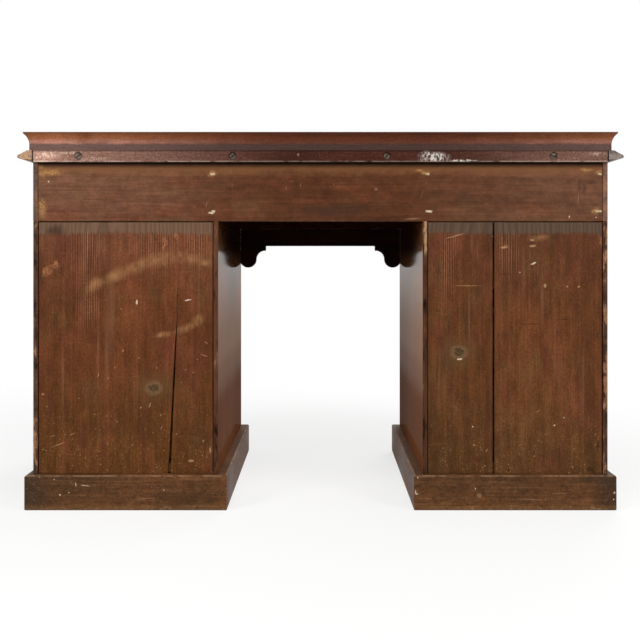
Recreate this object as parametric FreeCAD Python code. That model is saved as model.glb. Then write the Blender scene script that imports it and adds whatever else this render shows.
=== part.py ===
import FreeCAD, Part
import math
import os

# Twin-pedestal writing desk: a top section with three frieze drawers on two pedestals of three drawers.
# Lengths are in millimetres and +Z is up. The drawers face -Y and the plain back faces +Y.
# The origin is on the floor, in the middle of the desk's own box. Left and right are those of a
# person who sits at the drawers.

V = FreeCAD.Vector

# Whole desk
kneehole_width = 412.0
pedestal_width = 373.0
carcass_depth = 570.0
plinth_height = 70.0
pedestal_height = 509.0
frieze_height = 119.0
bearer_thickness = 23.0
top_thickness = 36.0

# Boards of the carcass
side_thickness = 20.0
divider_thickness = 20.0
board_thickness = 18.0
back_thickness = 12.0
back_recess = 0.8
side_edge = 9.5
housing_depth = 7.0
divider_housing = 5.0
rail_height = 18.0
rail_depth = 62.0
runner_width = 18.0

# Back boards, with the long split of the right pedestal and the open joint of the left one
pedestal_back_play = 1.8
pedestal_back_top_gap = 2.4
frieze_back_play = 0.7
split_width = 5.0
split_place_shares = [0.751, 0.770, 0.788, 0.799]
split_height_shares = [0.0, 0.29, 0.53, 0.64]
split_width_shares = [1.0, 0.75, 0.45, 0.0]
open_joint_width = 4.0
open_joint_share = 0.376

# Plinth frames and the glue blocks in their corners
plinth_projection = 16.0
plinth_thickness = 23.0
plinth_round = 4.5
plinth_foot_round = 3.0
plinth_set_in = 3.0
glue_block_width = 34.0
glue_block_lift = 6.0

# Top: edge frame with a hollow under a thin lip, panel, leather, bearers
lip_projection = 16.0
neck_projection = 6.0
lip_thickness = 2.6
hollow_height = 21.0
edge_frame_width = 62.0
panel_rebate = 12.0
panel_thickness = 18.0
panel_play = 0.4
leather_thickness = 1.2
bearer_width = 84.0
cross_bearer_width = 40.0

# Beak moulding under the top, its outline as shares of projection and of thickness
beak_projection = 30.0
beak_under_shares = (0.86, 0.31)
beak_tip_shares = (1.0, 0.46)
beak_nose_shares = (0.93, 0.60)
beak_back_shares = (0.64, 0.79)
beak_flat_shares = (0.36, 1.0)

# Rear strip and its slotted screws, places along the strip from its left end
strip_thickness = 9.0
screw_place_shares = [0.096, 0.385, 0.652, 0.920]
screw_height_share = 0.5
screw_slot_angles = [80.0, -35.0, -50.0, -52.0]
screw_head_radius = 6.2
screw_head_height = 3.6
screw_shank_radius = 2.6
screw_length = 34.0
screw_slot_width = 1.8
screw_slot_depth = 1.4
screw_recess_radius = 7.6
screw_recess_depth = 1.6
screw_play = 0.2

# Nails of the frieze back
nail_width = 2.8
nail_length = 42.0
nail_head_width = 7.0
nail_head_height = 4.0
nail_head_thickness = 1.4
nail_from_face = 15.5
nail_height_shares = [0.17, 0.80]
nail_play = 0.15

# Apron across the front of the kneehole: flat, step, hollow and lobe
apron_thickness = 18.0
apron_setback = 2.0
apron_play = 0.4
bracket_drop = 99.0
bracket_length = 65.0
lobe_inset = 19.0
lobe_radius = 21.5
cove_radius = 22.0
apron_step = 12.0

# Dowels that place the top section on the pedestals
dowel_radius = 7.0
dowel_length = 26.0
dowel_play = 0.2
dowel_inset = 110.0

# Drawers
upper_drawer_height = 128.0
middle_drawer_height = 144.0
drawer_front_thickness = 20.0
drawer_side_thickness = 10.0
drawer_back_thickness = 10.0
drawer_bottom_thickness = 7.0
drawer_bottom_lift = 8.0
drawer_bottom_play = 0.2
drawer_groove_depth = 5.0
drawer_side_play = 0.8
drawer_ride = 0.3
drawer_top_gap = 1.2
drawer_side_drop = 5.0
drawer_back_drop = 7.0
drawer_back_gap = 22.0
tail_length = 14.0
tail_slope_share = 0.16
tail_width_share = 0.62
frieze_tail_count = 3
pedestal_tail_count = 4

# Stops behind the drawer fronts
stop_length = 24.0
stop_width = 30.0
stop_height = 4.0
stop_inset = 48.0
stop_gap = 0.3

# Turned knobs, with shares along the projection and of the head radius
knob_projection = 27.0
knob_head_radius = 18.0
knob_base_radius = 12.5
knob_neck_radius = 7.5
knob_spigot_radius = 6.0
knob_play = 0.15
knob_base_share = 0.14
knob_neck_share = 0.40
knob_rim_share = 0.66
knob_under_share = 0.55
knob_edge_shares = (0.97, 0.76)
knob_dome_shares = (0.86, 0.84)
centre_knob_share = 0.25

# Lock of the centre drawer
lock_width = 62.0
lock_height = 40.0
lock_depth = 12.0
bolt_width = 24.0
bolt_thickness = 6.0
bolt_length = 19.0
bolt_travel = 7.0
lock_play = 0.15
strike_play = 1.0
keyhole_radius = 2.6
keyhole_slot_width = 2.6
keyhole_slot_drop = 9.0
keyhole_from_top = 27.0
keyhole_sink = 5.0
escutcheon_rim = 1.6
escutcheon_depth = 3.0

# Cuts run this far past the face that they open
overrun = 5.0

# Places worked out from the sizes above
half_knee = kneehole_width / 2
half_carcass = half_knee + pedestal_width
pedestal_top = plinth_height + pedestal_height
frieze_top = pedestal_top + frieze_height
bearer_top = frieze_top + bearer_thickness
desk_height = bearer_top + top_thickness
front_y = beak_projection - (beak_projection + carcass_depth + lip_projection) / 2
back_y = front_y + carcass_depth
back_outer_y = back_y - back_recess
back_inner_y = back_outer_y - back_thickness
rail_back_y = front_y + rail_depth
front_seat_y = front_y + drawer_front_thickness
drawer_rear_y = back_inner_y - drawer_back_gap
rebate_width = side_thickness - side_edge
pedestal_floor = plinth_height + board_thickness
pedestal_ceiling = pedestal_top - board_thickness
upper_rail_z = pedestal_ceiling - upper_drawer_height - rail_height
lower_rail_z = upper_rail_z - middle_drawer_height - rail_height
frieze_floor = pedestal_top + board_thickness
frieze_ceiling = frieze_top - rail_height
leather_z = desk_height - leather_thickness
panel_z = leather_z - panel_thickness
desk_outline = (-half_carcass, half_carcass, front_y, back_y)
hands = {"left": -1, "right": 1}


def block(x_pair, y_pair, z_pair):
    """Box between two values on each axis, in either order."""
    low = V(min(x_pair), min(y_pair), min(z_pair))
    high = V(max(x_pair), max(y_pair), max(z_pair))
    size = high - low
    return Part.makeBox(size.x, size.y, size.z, low)


def moved_solid(face, along):
    """Solid swept by a flat face along a straight line, with its faces turned outwards."""
    solid = face.extrude(along)
    if solid.Volume < 0:
        solid.reverse()
    return solid


def prism(points, along):
    """Solid swept by a polygon along a straight line."""
    return moved_solid(Part.Face(Part.makePolygon(points + points[:1])), along)


def one_solid(shape):
    """The single solid of a finished piece, without needless seams."""
    solids = shape.removeSplitter().Solids
    if len(solids) != 1:
        raise ValueError("a piece came out as %d solids" % len(solids))
    return solids[0]


def carve(body, tools):
    """Body with all the tools taken away, as one solid."""
    return one_solid(body.cut(tools))


def outline(place, first, steps):
    """Closed edges of a section. A step is an end point, or a middle and an end point of an arc."""
    edges = []
    here = first
    for step in steps + [(first,)]:
        end = step[-1]
        if len(step) == 2:
            edges.append(Part.Arc(place(*here), place(*step[0]), place(*end)).toShape())
        else:
            edges.append(Part.LineSegment(place(*here), place(*end)).toShape())
        here = end
    return Part.Face(Part.Wire(edges))


def edge_of(rectangle, side):
    """Start corner, outward direction and run of one side of a rectangle in plan."""
    x_low, x_high, y_low, y_high = rectangle
    edges = {
        "front": (V(x_low, y_low, 0), V(0, -1, 0), V(x_high - x_low, 0, 0)),
        "right": (V(x_high, y_low, 0), V(1, 0, 0), V(0, y_high - y_low, 0)),
        "back": (V(x_high, y_high, 0), V(0, 1, 0), V(x_low - x_high, 0, 0)),
        "left": (V(x_low, y_high, 0), V(-1, 0, 0), V(0, y_low - y_high, 0)),
    }
    return edges[side]


def moulding(rectangle, side, section, base_z, height, reach, start_past=None, end_past=None):
    """Length of moulding along one side of a rectangle in plan.

    An end is mitred through the rectangle's corner, or cut square the given distance past it.
    """
    corner, outward, run = edge_of(rectangle, side)
    along = run / run.Length
    first = corner - along * reach + V(0, 0, base_z)

    def place(out, up):
        return first + outward * out + V(0, 0, up)

    def plan(by, out):
        return corner + along * by + outward * out + V(0, 0, base_z - overrun)

    blank = moved_solid(section(place), along * (run.Length + 2 * reach))
    start_outer = -reach if start_past is None else -start_past
    start_inner = reach if start_past is None else -start_past
    end_outer = run.Length + (reach if end_past is None else end_past)
    end_inner = run.Length + (-reach if end_past is None else end_past)
    corners = [
        plan(start_outer, reach),
        plan(end_outer, reach),
        plan(end_inner, -reach),
        plan(start_inner, -reach),
    ]
    keep = prism(corners, V(0, 0, height + 2 * overrun))
    return one_solid(blank.common(keep))


def plinth_section(place):
    """Plank on edge with worn rounds along its outer arrises."""
    inner = plinth_projection - plinth_thickness
    outer = plinth_projection
    bend = plinth_round * math.sqrt(0.5)
    turn = (outer - plinth_round + bend, plinth_height - plinth_round + bend)
    foot_bend = plinth_foot_round * math.sqrt(0.5)
    foot_turn = (outer - plinth_foot_round + foot_bend, plinth_foot_round - foot_bend)
    steps = [
        ((outer - plinth_foot_round, 0),),
        (foot_turn, (outer, plinth_foot_round)),
        ((outer, plinth_height - plinth_round),),
        (turn, (outer - plinth_round, plinth_height)),
        ((inner, plinth_height),),
    ]
    return outline(place, (inner, 0), steps)


def edge_frame_section(place):
    """Frame member of the top: a neck, a hollow that sweeps out to a thin lip, and the panel's rebate."""
    inner = -edge_frame_width
    hollow_depth = lip_projection - neck_projection
    radius = (hollow_depth ** 2 + hollow_height ** 2) / (2 * hollow_depth)
    half_turn = math.asin(hollow_height / radius) / 2
    hollow_top = top_thickness - lip_thickness
    neck_top = hollow_top - hollow_height
    middle = (
        neck_projection + radius * (1 - math.cos(half_turn)),
        neck_top + radius * math.sin(half_turn),
    )
    ledge = panel_z - bearer_top
    steps = [
        ((neck_projection, 0),),
        ((neck_projection, neck_top),),
        (middle, (lip_projection, hollow_top)),
        ((lip_projection, top_thickness),),
        ((inner + panel_rebate, top_thickness),),
        ((inner + panel_rebate, ledge),),
        ((inner, ledge),),
    ]
    return outline(place, (inner, 0), steps)


def beak_section(place):
    """Beak: flat on top, sloping to a rounded nose, undercut below."""
    def at(shares):
        return (shares[0] * beak_projection, shares[1] * bearer_thickness)

    steps = [
        (at(beak_under_shares),),
        (at(beak_tip_shares), at(beak_nose_shares)),
        (at(beak_back_shares), at(beak_flat_shares)),
        ((0, bearer_thickness),),
    ]
    return outline(place, (0, 0), steps)


def screw_places():
    """Centres of the strip screws on the strip's outer face."""
    y = back_y + strip_thickness
    z = frieze_top + screw_height_share * bearer_thickness
    return [V((2 * share - 1) * half_carcass, y, z) for share in screw_place_shares]


def screw_shape(place, radius_play, end_play):
    """Round body of a countersunk screw that points to the front, with room around it where asked."""
    inward = V(0, -1, 0)
    head_face = place + inward * screw_recess_depth
    head_end = head_face + inward * screw_head_height
    head = Part.makeCone(
        screw_head_radius + radius_play,
        screw_shank_radius + radius_play,
        screw_head_height,
        head_face,
        inward,
    )
    shank_length = screw_length - screw_head_height + end_play
    shank = Part.makeCylinder(screw_shank_radius + radius_play, shank_length, head_end, inward)
    return head.fuse(shank)


def screw_holes():
    """Room for the strip screws, with the round recess that each head sits in."""
    holes = []
    for place in screw_places():
        holes.append(screw_shape(place, screw_play, screw_play))
        mouth = place + V(0, overrun, 0)
        depth = overrun + screw_recess_depth
        holes.append(Part.makeCylinder(screw_recess_radius, depth, mouth, V(0, -1, 0)))
    return holes


def strip_screws():
    """Slotted steel screws of the rear strip."""
    screws = []
    for place, angle in zip(screw_places(), screw_slot_angles):
        head_y = place.y - screw_recess_depth
        slot = block(
            (place.x - screw_slot_width / 2, place.x + screw_slot_width / 2),
            (head_y - screw_slot_depth, head_y + overrun),
            (place.z - 2 * screw_head_radius, place.z + 2 * screw_head_radius),
        )
        slot.rotate(place, V(0, 1, 0), angle)
        screws.append(carve(screw_shape(place, 0, 0), [slot]))
    return screws


def top_section_top():
    """Edge frame, panel, leather, bearers, beak moulding and rear strip."""
    sides = ["front", "right", "back", "left"]
    reach = max(edge_frame_width, lip_projection) + overrun
    frame = [moulding(desk_outline, s, edge_frame_section, bearer_top, top_thickness, reach) for s in sides]

    inset = edge_frame_width - panel_rebate + panel_play
    panel_x = (inset - half_carcass, half_carcass - inset)
    panel_y = (front_y + inset, back_y - inset)
    panel = block(panel_x, panel_y, (panel_z, leather_z))
    leather = block(panel_x, panel_y, (leather_z, desk_height))

    layer = (frieze_top, bearer_top)
    whole_x = (-half_carcass, half_carcass)
    inner_y = (front_y + bearer_width, back_y - bearer_width)
    rear = block(whole_x, (back_y - bearer_width, back_y), layer)
    bearers = [
        block(whole_x, (front_y, front_y + bearer_width), layer),
        carve(rear, screw_holes()),
    ]
    for hand in hands.values():
        bearers.append(block((hand * half_carcass, hand * (half_carcass - bearer_width)), inner_y, layer))
        middle = hand * (half_knee + divider_thickness / 2)
        cross_x = (middle - cross_bearer_width / 2, middle + cross_bearer_width / 2)
        bearers.append(block(cross_x, inner_y, (frieze_top, panel_z)))

    beak_reach = beak_projection + overrun
    beak_at = (frieze_top, bearer_thickness, beak_reach)
    beak = [
        moulding(desk_outline, "front", beak_section, *beak_at),
        moulding(desk_outline, "right", beak_section, *beak_at, end_past=strip_thickness),
        moulding(desk_outline, "left", beak_section, *beak_at, start_past=strip_thickness),
    ]
    strip = block(whole_x, (back_y, back_y + strip_thickness), layer)
    return {
        "top_edge_frame": frame,
        "top_panel": [panel],
        "writing_leather": [leather],
        "bearer_frame": bearers,
        "beak_moulding": beak,
        "rear_strip": [carve(strip, screw_holes())],
        "rear_strip_screws": strip_screws(),
    }


def nail_places():
    """Centres of the frieze nails on the back board's outer face."""
    across = [half_knee + divider_thickness / 2, half_carcass - nail_from_face]
    places = []
    for hand in hands.values():
        for x in across:
            for share in nail_height_shares:
                places.append(V(hand * x, back_outer_y, pedestal_top + share * frieze_height))
    return places


def nail_shape(place, play):
    """Cut nail with an oblong head, flush with the board, with room around it where asked."""
    def bar(width, height, start, length):
        return block(
            (place.x - width / 2 - play, place.x + width / 2 + play),
            (place.y - start, place.y - start - length),
            (place.z - height / 2 - play, place.z + height / 2 + play),
        )

    head = bar(nail_head_width, nail_head_height, 0, nail_head_thickness)
    shank = bar(nail_width, nail_width, nail_head_thickness, nail_length - nail_head_thickness + play)
    return one_solid(head.fuse(shank))


def apron():
    """Board across the front of the kneehole, with a stepped and lobed bracket at each end."""
    half = half_knee - apron_play
    y = front_y + apron_setback
    lobe_z = pedestal_top - bracket_drop + lobe_radius
    hollow_z = lobe_z + cove_radius
    flat_z = hollow_z + apron_step
    lobe_x = half - lobe_inset
    waist_x = lobe_x - lobe_radius
    cove_x = waist_x - cove_radius
    step_x = half - bracket_length
    end_z = lobe_z - math.sqrt(lobe_radius ** 2 - lobe_inset ** 2)
    bend = cove_radius * math.sqrt(0.5)
    steps = [
        ((step_x, flat_z),),
        ((step_x, hollow_z),),
        ((cove_x, hollow_z),),
        ((cove_x + bend, lobe_z + bend), (waist_x, lobe_z)),
        ((lobe_x, lobe_z - lobe_radius), (half, end_z)),
        ((half, pedestal_top),),
        ((0, pedestal_top),),
    ]

    def place(x, z):
        return V(x, y, z)

    right_half = moved_solid(outline(place, (0, flat_z), steps), V(0, apron_thickness, 0))
    left_half = right_half.mirror(V(0, 0, 0), V(1, 0, 0))
    return one_solid(right_half.fuse(left_half))


def dowel_places():
    """Centres of the dowels, in the plane where the top section meets the pedestals."""
    middle = half_knee + pedestal_width / 2
    places = []
    for hand in hands.values():
        for y in (front_y + dowel_inset, back_y - dowel_inset):
            places.append(V(hand * middle, y, pedestal_top))
    return places


def dowel(place, play):
    """Dowel standing half in each section, with room around it where asked."""
    start = place - V(0, 0, dowel_length / 2 + play)
    return Part.makeCylinder(dowel_radius + play, dowel_length + 2 * play, start)


def frieze():
    """Carcass of the top section: ends, back, bottom, dividers, front rails, apron and its fastenings."""
    dowel_holes = [dowel(place, dowel_play) for place in dowel_places()]
    nail_holes = [nail_shape(place, nail_play) for place in nail_places()]
    height = (pedestal_top, frieze_top)
    inner = half_carcass - side_thickness
    housed_x = (-inner - housing_depth, inner + housing_depth)
    bottom_layer = (pedestal_top, frieze_floor)
    rail_layer = (frieze_ceiling, frieze_top)
    rail_y = (front_y, rail_back_y)

    top_rail = block(housed_x, rail_y, rail_layer)
    bottom_rail = block(housed_x, rail_y, bottom_layer)
    bottom = block(housed_x, (rail_back_y, back_inner_y), bottom_layer)

    dividers = []
    for hand in hands.values():
        x = (hand * half_knee, hand * (half_knee + divider_thickness))
        board = block(x, (front_y, back_inner_y), (frieze_floor - divider_housing, frieze_top))
        dividers.append(carve(board, [top_rail] + nail_holes))

    ends = []
    for hand in hands.values():
        board = block((hand * half_carcass, hand * inner), (front_y, back_y), height)
        rebate_x = (hand * inner, hand * (inner + rebate_width))
        rebate = block(rebate_x, (back_inner_y, back_y + overrun), height)
        ends.append(carve(board, [top_rail, bottom_rail, bottom, rebate] + nail_holes))

    back_half = inner + rebate_width - frieze_back_play
    back = block((-back_half, back_half), (back_inner_y, back_outer_y), height)
    lock_strike = strike_mortise()
    return {
        "frieze_ends": ends,
        "frieze_dividers": dividers,
        "frieze_back_board": [carve(back, nail_holes)],
        "frieze_bottom_board": [carve(bottom, dividers + dowel_holes)],
        "frieze_front_rails": [carve(top_rail, [lock_strike]), carve(bottom_rail, dividers)],
        "frieze_nails": [nail_shape(place, 0) for place in nail_places()],
        "kneehole_apron": [apron()],
        "locating_dowels": [dowel(place, 0) for place in dowel_places()],
    }


def split_tool(outer_x, inner_x, low_z, high_z):
    """Wedge of the long split: widest at the foot of the board, closing upwards."""
    left = []
    right = []
    for place, up, width in zip(split_place_shares, split_height_shares, split_width_shares):
        x = outer_x + place * (inner_x - outer_x)
        z = low_z + up * (high_z - low_z)
        left.append(V(x - width * split_width / 2, back_inner_y - overrun, z))
        if width > 0:
            right.append(V(x + width * split_width / 2, back_inner_y - overrun, z))
    return prism(left + right[::-1], V(0, back_thickness + 2 * overrun, 0))


def pedestal(name, hand):
    """One pedestal: two sides, back, top, bottom, drawer rails, runners and plinth frame."""
    outer_x = hand * half_carcass
    inner_x = hand * half_knee
    outer_wall = outer_x - hand * side_thickness
    inner_wall = inner_x + hand * side_thickness
    height = (plinth_height, pedestal_top)
    carcass_y = (front_y, back_inner_y)
    rail_zs = [upper_rail_z, lower_rail_z]
    housed_x = (outer_wall + hand * housing_depth, inner_wall - hand * housing_depth)

    top = block(housed_x, carcass_y, (pedestal_ceiling, pedestal_top))
    bottom = block(housed_x, carcass_y, (plinth_height, pedestal_floor))
    housings = [block(housed_x, carcass_y, (z, z + rail_height)) for z in rail_zs]
    rails = [block(housed_x, (front_y, rail_back_y), (z, z + rail_height)) for z in rail_zs]
    runners = []
    for z in rail_zs:
        for wall, inward in ((outer_wall, -hand), (inner_wall, hand)):
            x = (wall - inward * housing_depth, wall + inward * runner_width)
            runners.append(block(x, (rail_back_y, back_inner_y), (z, z + rail_height)))

    outer_rebate = outer_wall + hand * rebate_width
    inner_rebate = inner_wall - hand * rebate_width
    rebate = block((outer_rebate, inner_rebate), (back_inner_y, back_y + overrun), height)
    hollows = [top, bottom, rebate] + housings
    outer_side = block((outer_x, outer_wall), (front_y, back_y), height)
    inner_side = block((inner_x, inner_wall), (front_y, back_y), height)

    board_outer = outer_rebate - hand * pedestal_back_play
    board_inner = inner_rebate + hand * pedestal_back_play
    board_y = (back_inner_y, back_outer_y)
    board_z = (plinth_height, pedestal_top - pedestal_back_top_gap)
    if name == "right":
        board = block((board_outer, board_inner), board_y, board_z)
        boards = [carve(board, [split_tool(board_outer, board_inner, *board_z)])]
    else:
        joint = board_inner + open_joint_share * (board_outer - board_inner)
        boards = [
            block((board_inner, joint - hand * open_joint_width / 2), board_y, board_z),
            block((joint + hand * open_joint_width / 2, board_outer), board_y, board_z),
        ]

    foot_x = (outer_x - hand * plinth_set_in, inner_x - hand * plinth_set_in)
    footprint = (min(foot_x), max(foot_x), front_y, back_y)
    plinth = []
    for side in ("front", "right", "back", "left"):
        reach = plinth_thickness + overrun
        plinth.append(moulding(footprint, side, plinth_section, 0, plinth_height, reach))

    dowel_holes = [dowel(place, dowel_play) for place in dowel_places()]
    stem = name + "_pedestal_"
    nodes = {
        stem + "outer_side": [carve(outer_side, hollows)],
        stem + "inner_side": [carve(inner_side, hollows)],
        stem + "back_boards": boards,
        stem + "top_board": [carve(top, dowel_holes)],
        stem + "bottom_board": [bottom],
        stem + "plinth": plinth,
    }
    return nodes, rails, runners


def glue_blocks():
    """Square blocks in the corners of both plinth frames, under the bottom boards."""
    ledge = plinth_thickness - plinth_projection
    blocks = []
    for hand in hands.values():
        for wall, inward in ((hand * half_carcass, -hand), (hand * half_knee, hand)):
            start = wall - hand * plinth_set_in + inward * ledge
            x = (start, start + inward * glue_block_width)
            for y, turn in ((front_y + ledge, 1), (back_y - ledge, -1)):
                blocks.append(block(x, (y, y + turn * glue_block_width), (glue_block_lift, plinth_height)))
    return blocks


def kickers():
    """Strips over the frieze drawers that stop them from tipping when pulled out."""
    walls = []
    for hand in hands.values():
        walls.append((hand * half_knee, -hand))
        walls.append((hand * (half_knee + divider_thickness), hand))
        walls.append((hand * (half_carcass - side_thickness), -hand))
    strips = []
    for wall, inward in walls:
        x = (wall, wall + inward * runner_width)
        strips.append(block(x, (rail_back_y, back_inner_y), (frieze_ceiling, frieze_top)))
    return strips


def drawer_bays():
    """Every drawer's name, with the clear width and height that it fills and its tail and knob counts."""
    bays = {}
    frieze_z = (frieze_floor, frieze_ceiling)
    side_inner = half_knee + divider_thickness
    side_outer = half_carcass - side_thickness
    bays["frieze_left"] = ((-side_outer, -side_inner), frieze_z, frieze_tail_count, 1)
    bays["frieze_centre"] = ((-half_knee, half_knee), frieze_z, frieze_tail_count, 2)
    bays["frieze_right"] = ((side_inner, side_outer), frieze_z, frieze_tail_count, 1)
    levels = {
        "upper": (upper_rail_z + rail_height, pedestal_ceiling),
        "middle": (lower_rail_z + rail_height, upper_rail_z),
        "lower": (pedestal_floor, lower_rail_z),
    }
    wall_inner = half_knee + side_thickness
    for name, hand in hands.items():
        walls = sorted((hand * wall_inner, hand * side_outer))
        for level, z_pair in levels.items():
            bays[name + "_" + level] = (tuple(walls), z_pair, pedestal_tail_count, 1)
    return bays


def drawer_stops():
    """Two small blocks behind each drawer front, which set how far it closes."""
    y = (front_seat_y + stop_gap, front_seat_y + stop_gap + stop_length)
    stops = []
    for (x_low, x_high), (z_low, _), _, _ in drawer_bays().values():
        z = (z_low, z_low + stop_height)
        stops.append(block((x_low + stop_inset, x_low + stop_inset + stop_width), y, z))
        stops.append(block((x_high - stop_inset, x_high - stop_inset - stop_width), y, z))
    return stops


def tails(x_pair, y_narrow, y_wide, z_pair, count):
    """Dovetails that fill a side's thickness and widen towards its end."""
    low, high = z_pair
    pitch = (high - low) / count
    half_narrow = pitch * tail_width_share / 2
    half_wide = half_narrow + abs(y_wide - y_narrow) * tail_slope_share
    shapes = []
    for i in range(count):
        middle = low + (i + 0.5) * pitch
        points = [
            V(x_pair[0], y_narrow, middle - half_narrow),
            V(x_pair[0], y_wide, middle - half_wide),
            V(x_pair[0], y_wide, middle + half_wide),
            V(x_pair[0], y_narrow, middle + half_narrow),
        ]
        shapes.append(prism(points, V(x_pair[1] - x_pair[0], 0, 0)))
    return shapes


def knob(x, z):
    """Turned knob with its spigot: base, drawn-in neck and domed head."""
    head = knob_head_radius
    base_out = knob_base_share * knob_projection
    neck_out = knob_neck_share * knob_projection
    rim_out = knob_rim_share * knob_projection
    under = (knob_under_share * head, (neck_out + rim_out) / 2)
    edge = (knob_edge_shares[0] * head, knob_edge_shares[1] * knob_projection)
    dome = (knob_dome_shares[0] * head, knob_dome_shares[1] * knob_projection)
    rise = knob_projection - dome[1]
    dome_radius = (dome[0] ** 2 + rise ** 2) / (2 * rise)
    half_turn = math.asin(dome[0] / dome_radius) / 2
    crown_out = knob_projection - dome_radius * (1 - math.cos(half_turn))
    crown = (dome_radius * math.sin(half_turn), crown_out)
    steps = [
        ((knob_spigot_radius, -drawer_front_thickness),),
        ((knob_spigot_radius, 0),),
        ((knob_base_radius, 0),),
        ((knob_base_radius, base_out),),
        ((knob_neck_radius, base_out),),
        ((knob_neck_radius, neck_out),),
        (under, (head, rim_out)),
        (edge, dome),
        (crown, (0, knob_projection)),
    ]

    def place(radius, out):
        return V(x + radius, front_y - out, z)

    face = outline(place, (0, -drawer_front_thickness), steps)
    return face.revolve(V(x, front_y, z), V(0, 1, 0), 360)


def keyhole(x, z, y_pair, grow):
    """Keyhole outline through a depth: a round with a slot below, larger all round where asked."""
    y = max(y_pair)
    depth = y - min(y_pair)
    bow = Part.makeCylinder(keyhole_radius + grow, depth, V(x, y, z), V(0, -1, 0))
    half = keyhole_slot_width / 2 + grow
    slot = block((x - half, x + half), y_pair, (z - keyhole_slot_drop - grow, z))
    return bow.fuse(slot).removeSplitter()


def lock_room():
    """Places of the centre drawer's lock: middle, top edge, bolt's middle depth and keyhole height."""
    top = frieze_ceiling - drawer_top_gap
    return 0, top, front_seat_y - lock_depth / 2, top - keyhole_from_top


def strike_mortise():
    """Mortise in the rail over the centre drawer that the bolt rises into."""
    x, top, y, _ = lock_room()
    half_width = bolt_width / 2 + strike_play
    half_thickness = bolt_thickness / 2 + strike_play
    roof = top + bolt_travel + strike_play
    width = (x - half_width, x + half_width)
    return block(width, (y - half_thickness, y + half_thickness), (frieze_ceiling, roof))


def lock():
    """Lock of the centre drawer, its bolt, and what the drawer front loses for them."""
    x, top, bolt_y, key_z = lock_room()
    case_y = (front_seat_y - lock_depth, front_seat_y)
    case = block((x - lock_width / 2, x + lock_width / 2), case_y, (top - lock_height, top))

    def bolt_block(play, low, high):
        half_width = bolt_width / 2 + play
        half_thickness = bolt_thickness / 2 + play
        width = (x - half_width, x + half_width)
        return block(width, (bolt_y - half_thickness, bolt_y + half_thickness), (low, high))

    bolt = bolt_block(0, top - bolt_length, top)
    bolt_room = bolt_block(lock_play, top - bolt_length - lock_play, top + overrun)
    key_way = keyhole(x, key_z, (front_y - overrun, case_y[0] + keyhole_sink), 0)
    rim_y = (front_y, front_y + escutcheon_depth)
    rim = keyhole(x, key_z, rim_y, escutcheon_rim)
    rim_room = keyhole(x, key_z, (front_y - overrun, rim_y[1]), escutcheon_rim + lock_play)
    pieces = [carve(case, [bolt_room, key_way]), carve(rim, [key_way])]
    return pieces, bolt, [case, key_way, rim_room]


def drawer(name, bay):
    """One drawer: dovetailed front, sides and back, a bottom in grooves, and its knobs."""
    (x_low, x_high), (z_low, z_high), tail_count, knob_count = bay
    left = x_low + drawer_side_play
    right = x_high - drawer_side_play
    base = z_low + drawer_ride
    front_top = z_high - drawer_top_gap
    side_top = z_high - drawer_side_drop
    floor_low = base + drawer_bottom_lift
    floor_high = floor_low + drawer_bottom_thickness
    inner_left = left + drawer_side_thickness
    inner_right = right - drawer_side_thickness
    side_xs = [(left, inner_left), (inner_right, right)]
    back_face_y = drawer_rear_y - drawer_back_thickness
    back_z = (floor_high, side_top - drawer_back_drop)
    lap_y = front_seat_y - tail_length
    play = drawer_bottom_play

    front_tails = []
    back_tails = []
    for x in side_xs:
        front_tails += tails(x, front_seat_y, lap_y, (base, side_top), tail_count)
        back_tails += tails(x, back_face_y, drawer_rear_y, back_z, tail_count)

    groove_z = (floor_low - play, floor_high + play)
    front_groove_y = (front_seat_y - drawer_groove_depth, front_seat_y)
    front_groove = block((inner_left, inner_right), front_groove_y, groove_z)

    middle_x = (left + right) / 2
    middle_z = (base + front_top) / 2
    knob_xs = [middle_x]
    if knob_count == 2:
        spread = (right - left) * centre_knob_share
        knob_xs = [middle_x - spread, middle_x + spread]
    bores = []
    for x in knob_xs:
        start = V(x, front_y - overrun, middle_z)
        length = drawer_front_thickness + 2 * overrun
        bores.append(Part.makeCylinder(knob_spigot_radius + knob_play, length, start, V(0, 1, 0)))

    fittings = {}
    losses = []
    if name == "frieze_centre":
        lock_pieces, bolt, losses = lock()
        fittings = {"centre_drawer_lock": lock_pieces, "centre_drawer_lock_bolt": [bolt]}

    whole_front = block((left, right), (front_y, front_seat_y), (base, front_top))
    front = carve(whole_front, front_tails + [front_groove] + bores + losses)
    back = carve(block((left, right), (back_face_y, drawer_rear_y), back_z), back_tails)

    sides = []
    for x, inward in zip(side_xs, (1, -1)):
        wall = x[1] if inward > 0 else x[0]
        groove_x = (wall - inward * drawer_groove_depth, wall)
        groove = block(groove_x, (front_seat_y, drawer_rear_y), groove_z)
        board = block(x, (lap_y, drawer_rear_y), (base, side_top))
        lap = block(x, (lap_y, front_seat_y), (base, side_top))
        sides.append(carve(board, [lap.cut(front_tails), back, groove]))

    reach = drawer_groove_depth - play
    floor_x = (inner_left - reach, inner_right + reach)
    tongue_x = (inner_left + play, inner_right - play)
    tongue_y = (front_seat_y - reach, front_seat_y + play)
    floor_main = block(floor_x, (front_seat_y + play, drawer_rear_y), (floor_low, floor_high))
    floor_tongue = block(tongue_x, tongue_y, (floor_low, floor_high))
    bottom = one_solid(floor_main.fuse(floor_tongue))

    stem = name + "_drawer_"
    nodes = {
        stem + "front": [front],
        stem + "box": sides + [back, bottom],
        stem + "knobs": [knob(x, middle_z) for x in knob_xs],
    }
    nodes.update(fittings)
    return nodes


def save(nodes):
    """Write each node's solids to a file of its own."""
    for node, solids in nodes.items():
        shape = solids[0] if len(solids) == 1 else Part.makeCompound(solids)
        if not shape.isValid():
            raise ValueError(node + " isn't a valid shape")
        shape.exportStep("parts/" + node + ".step")


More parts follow.
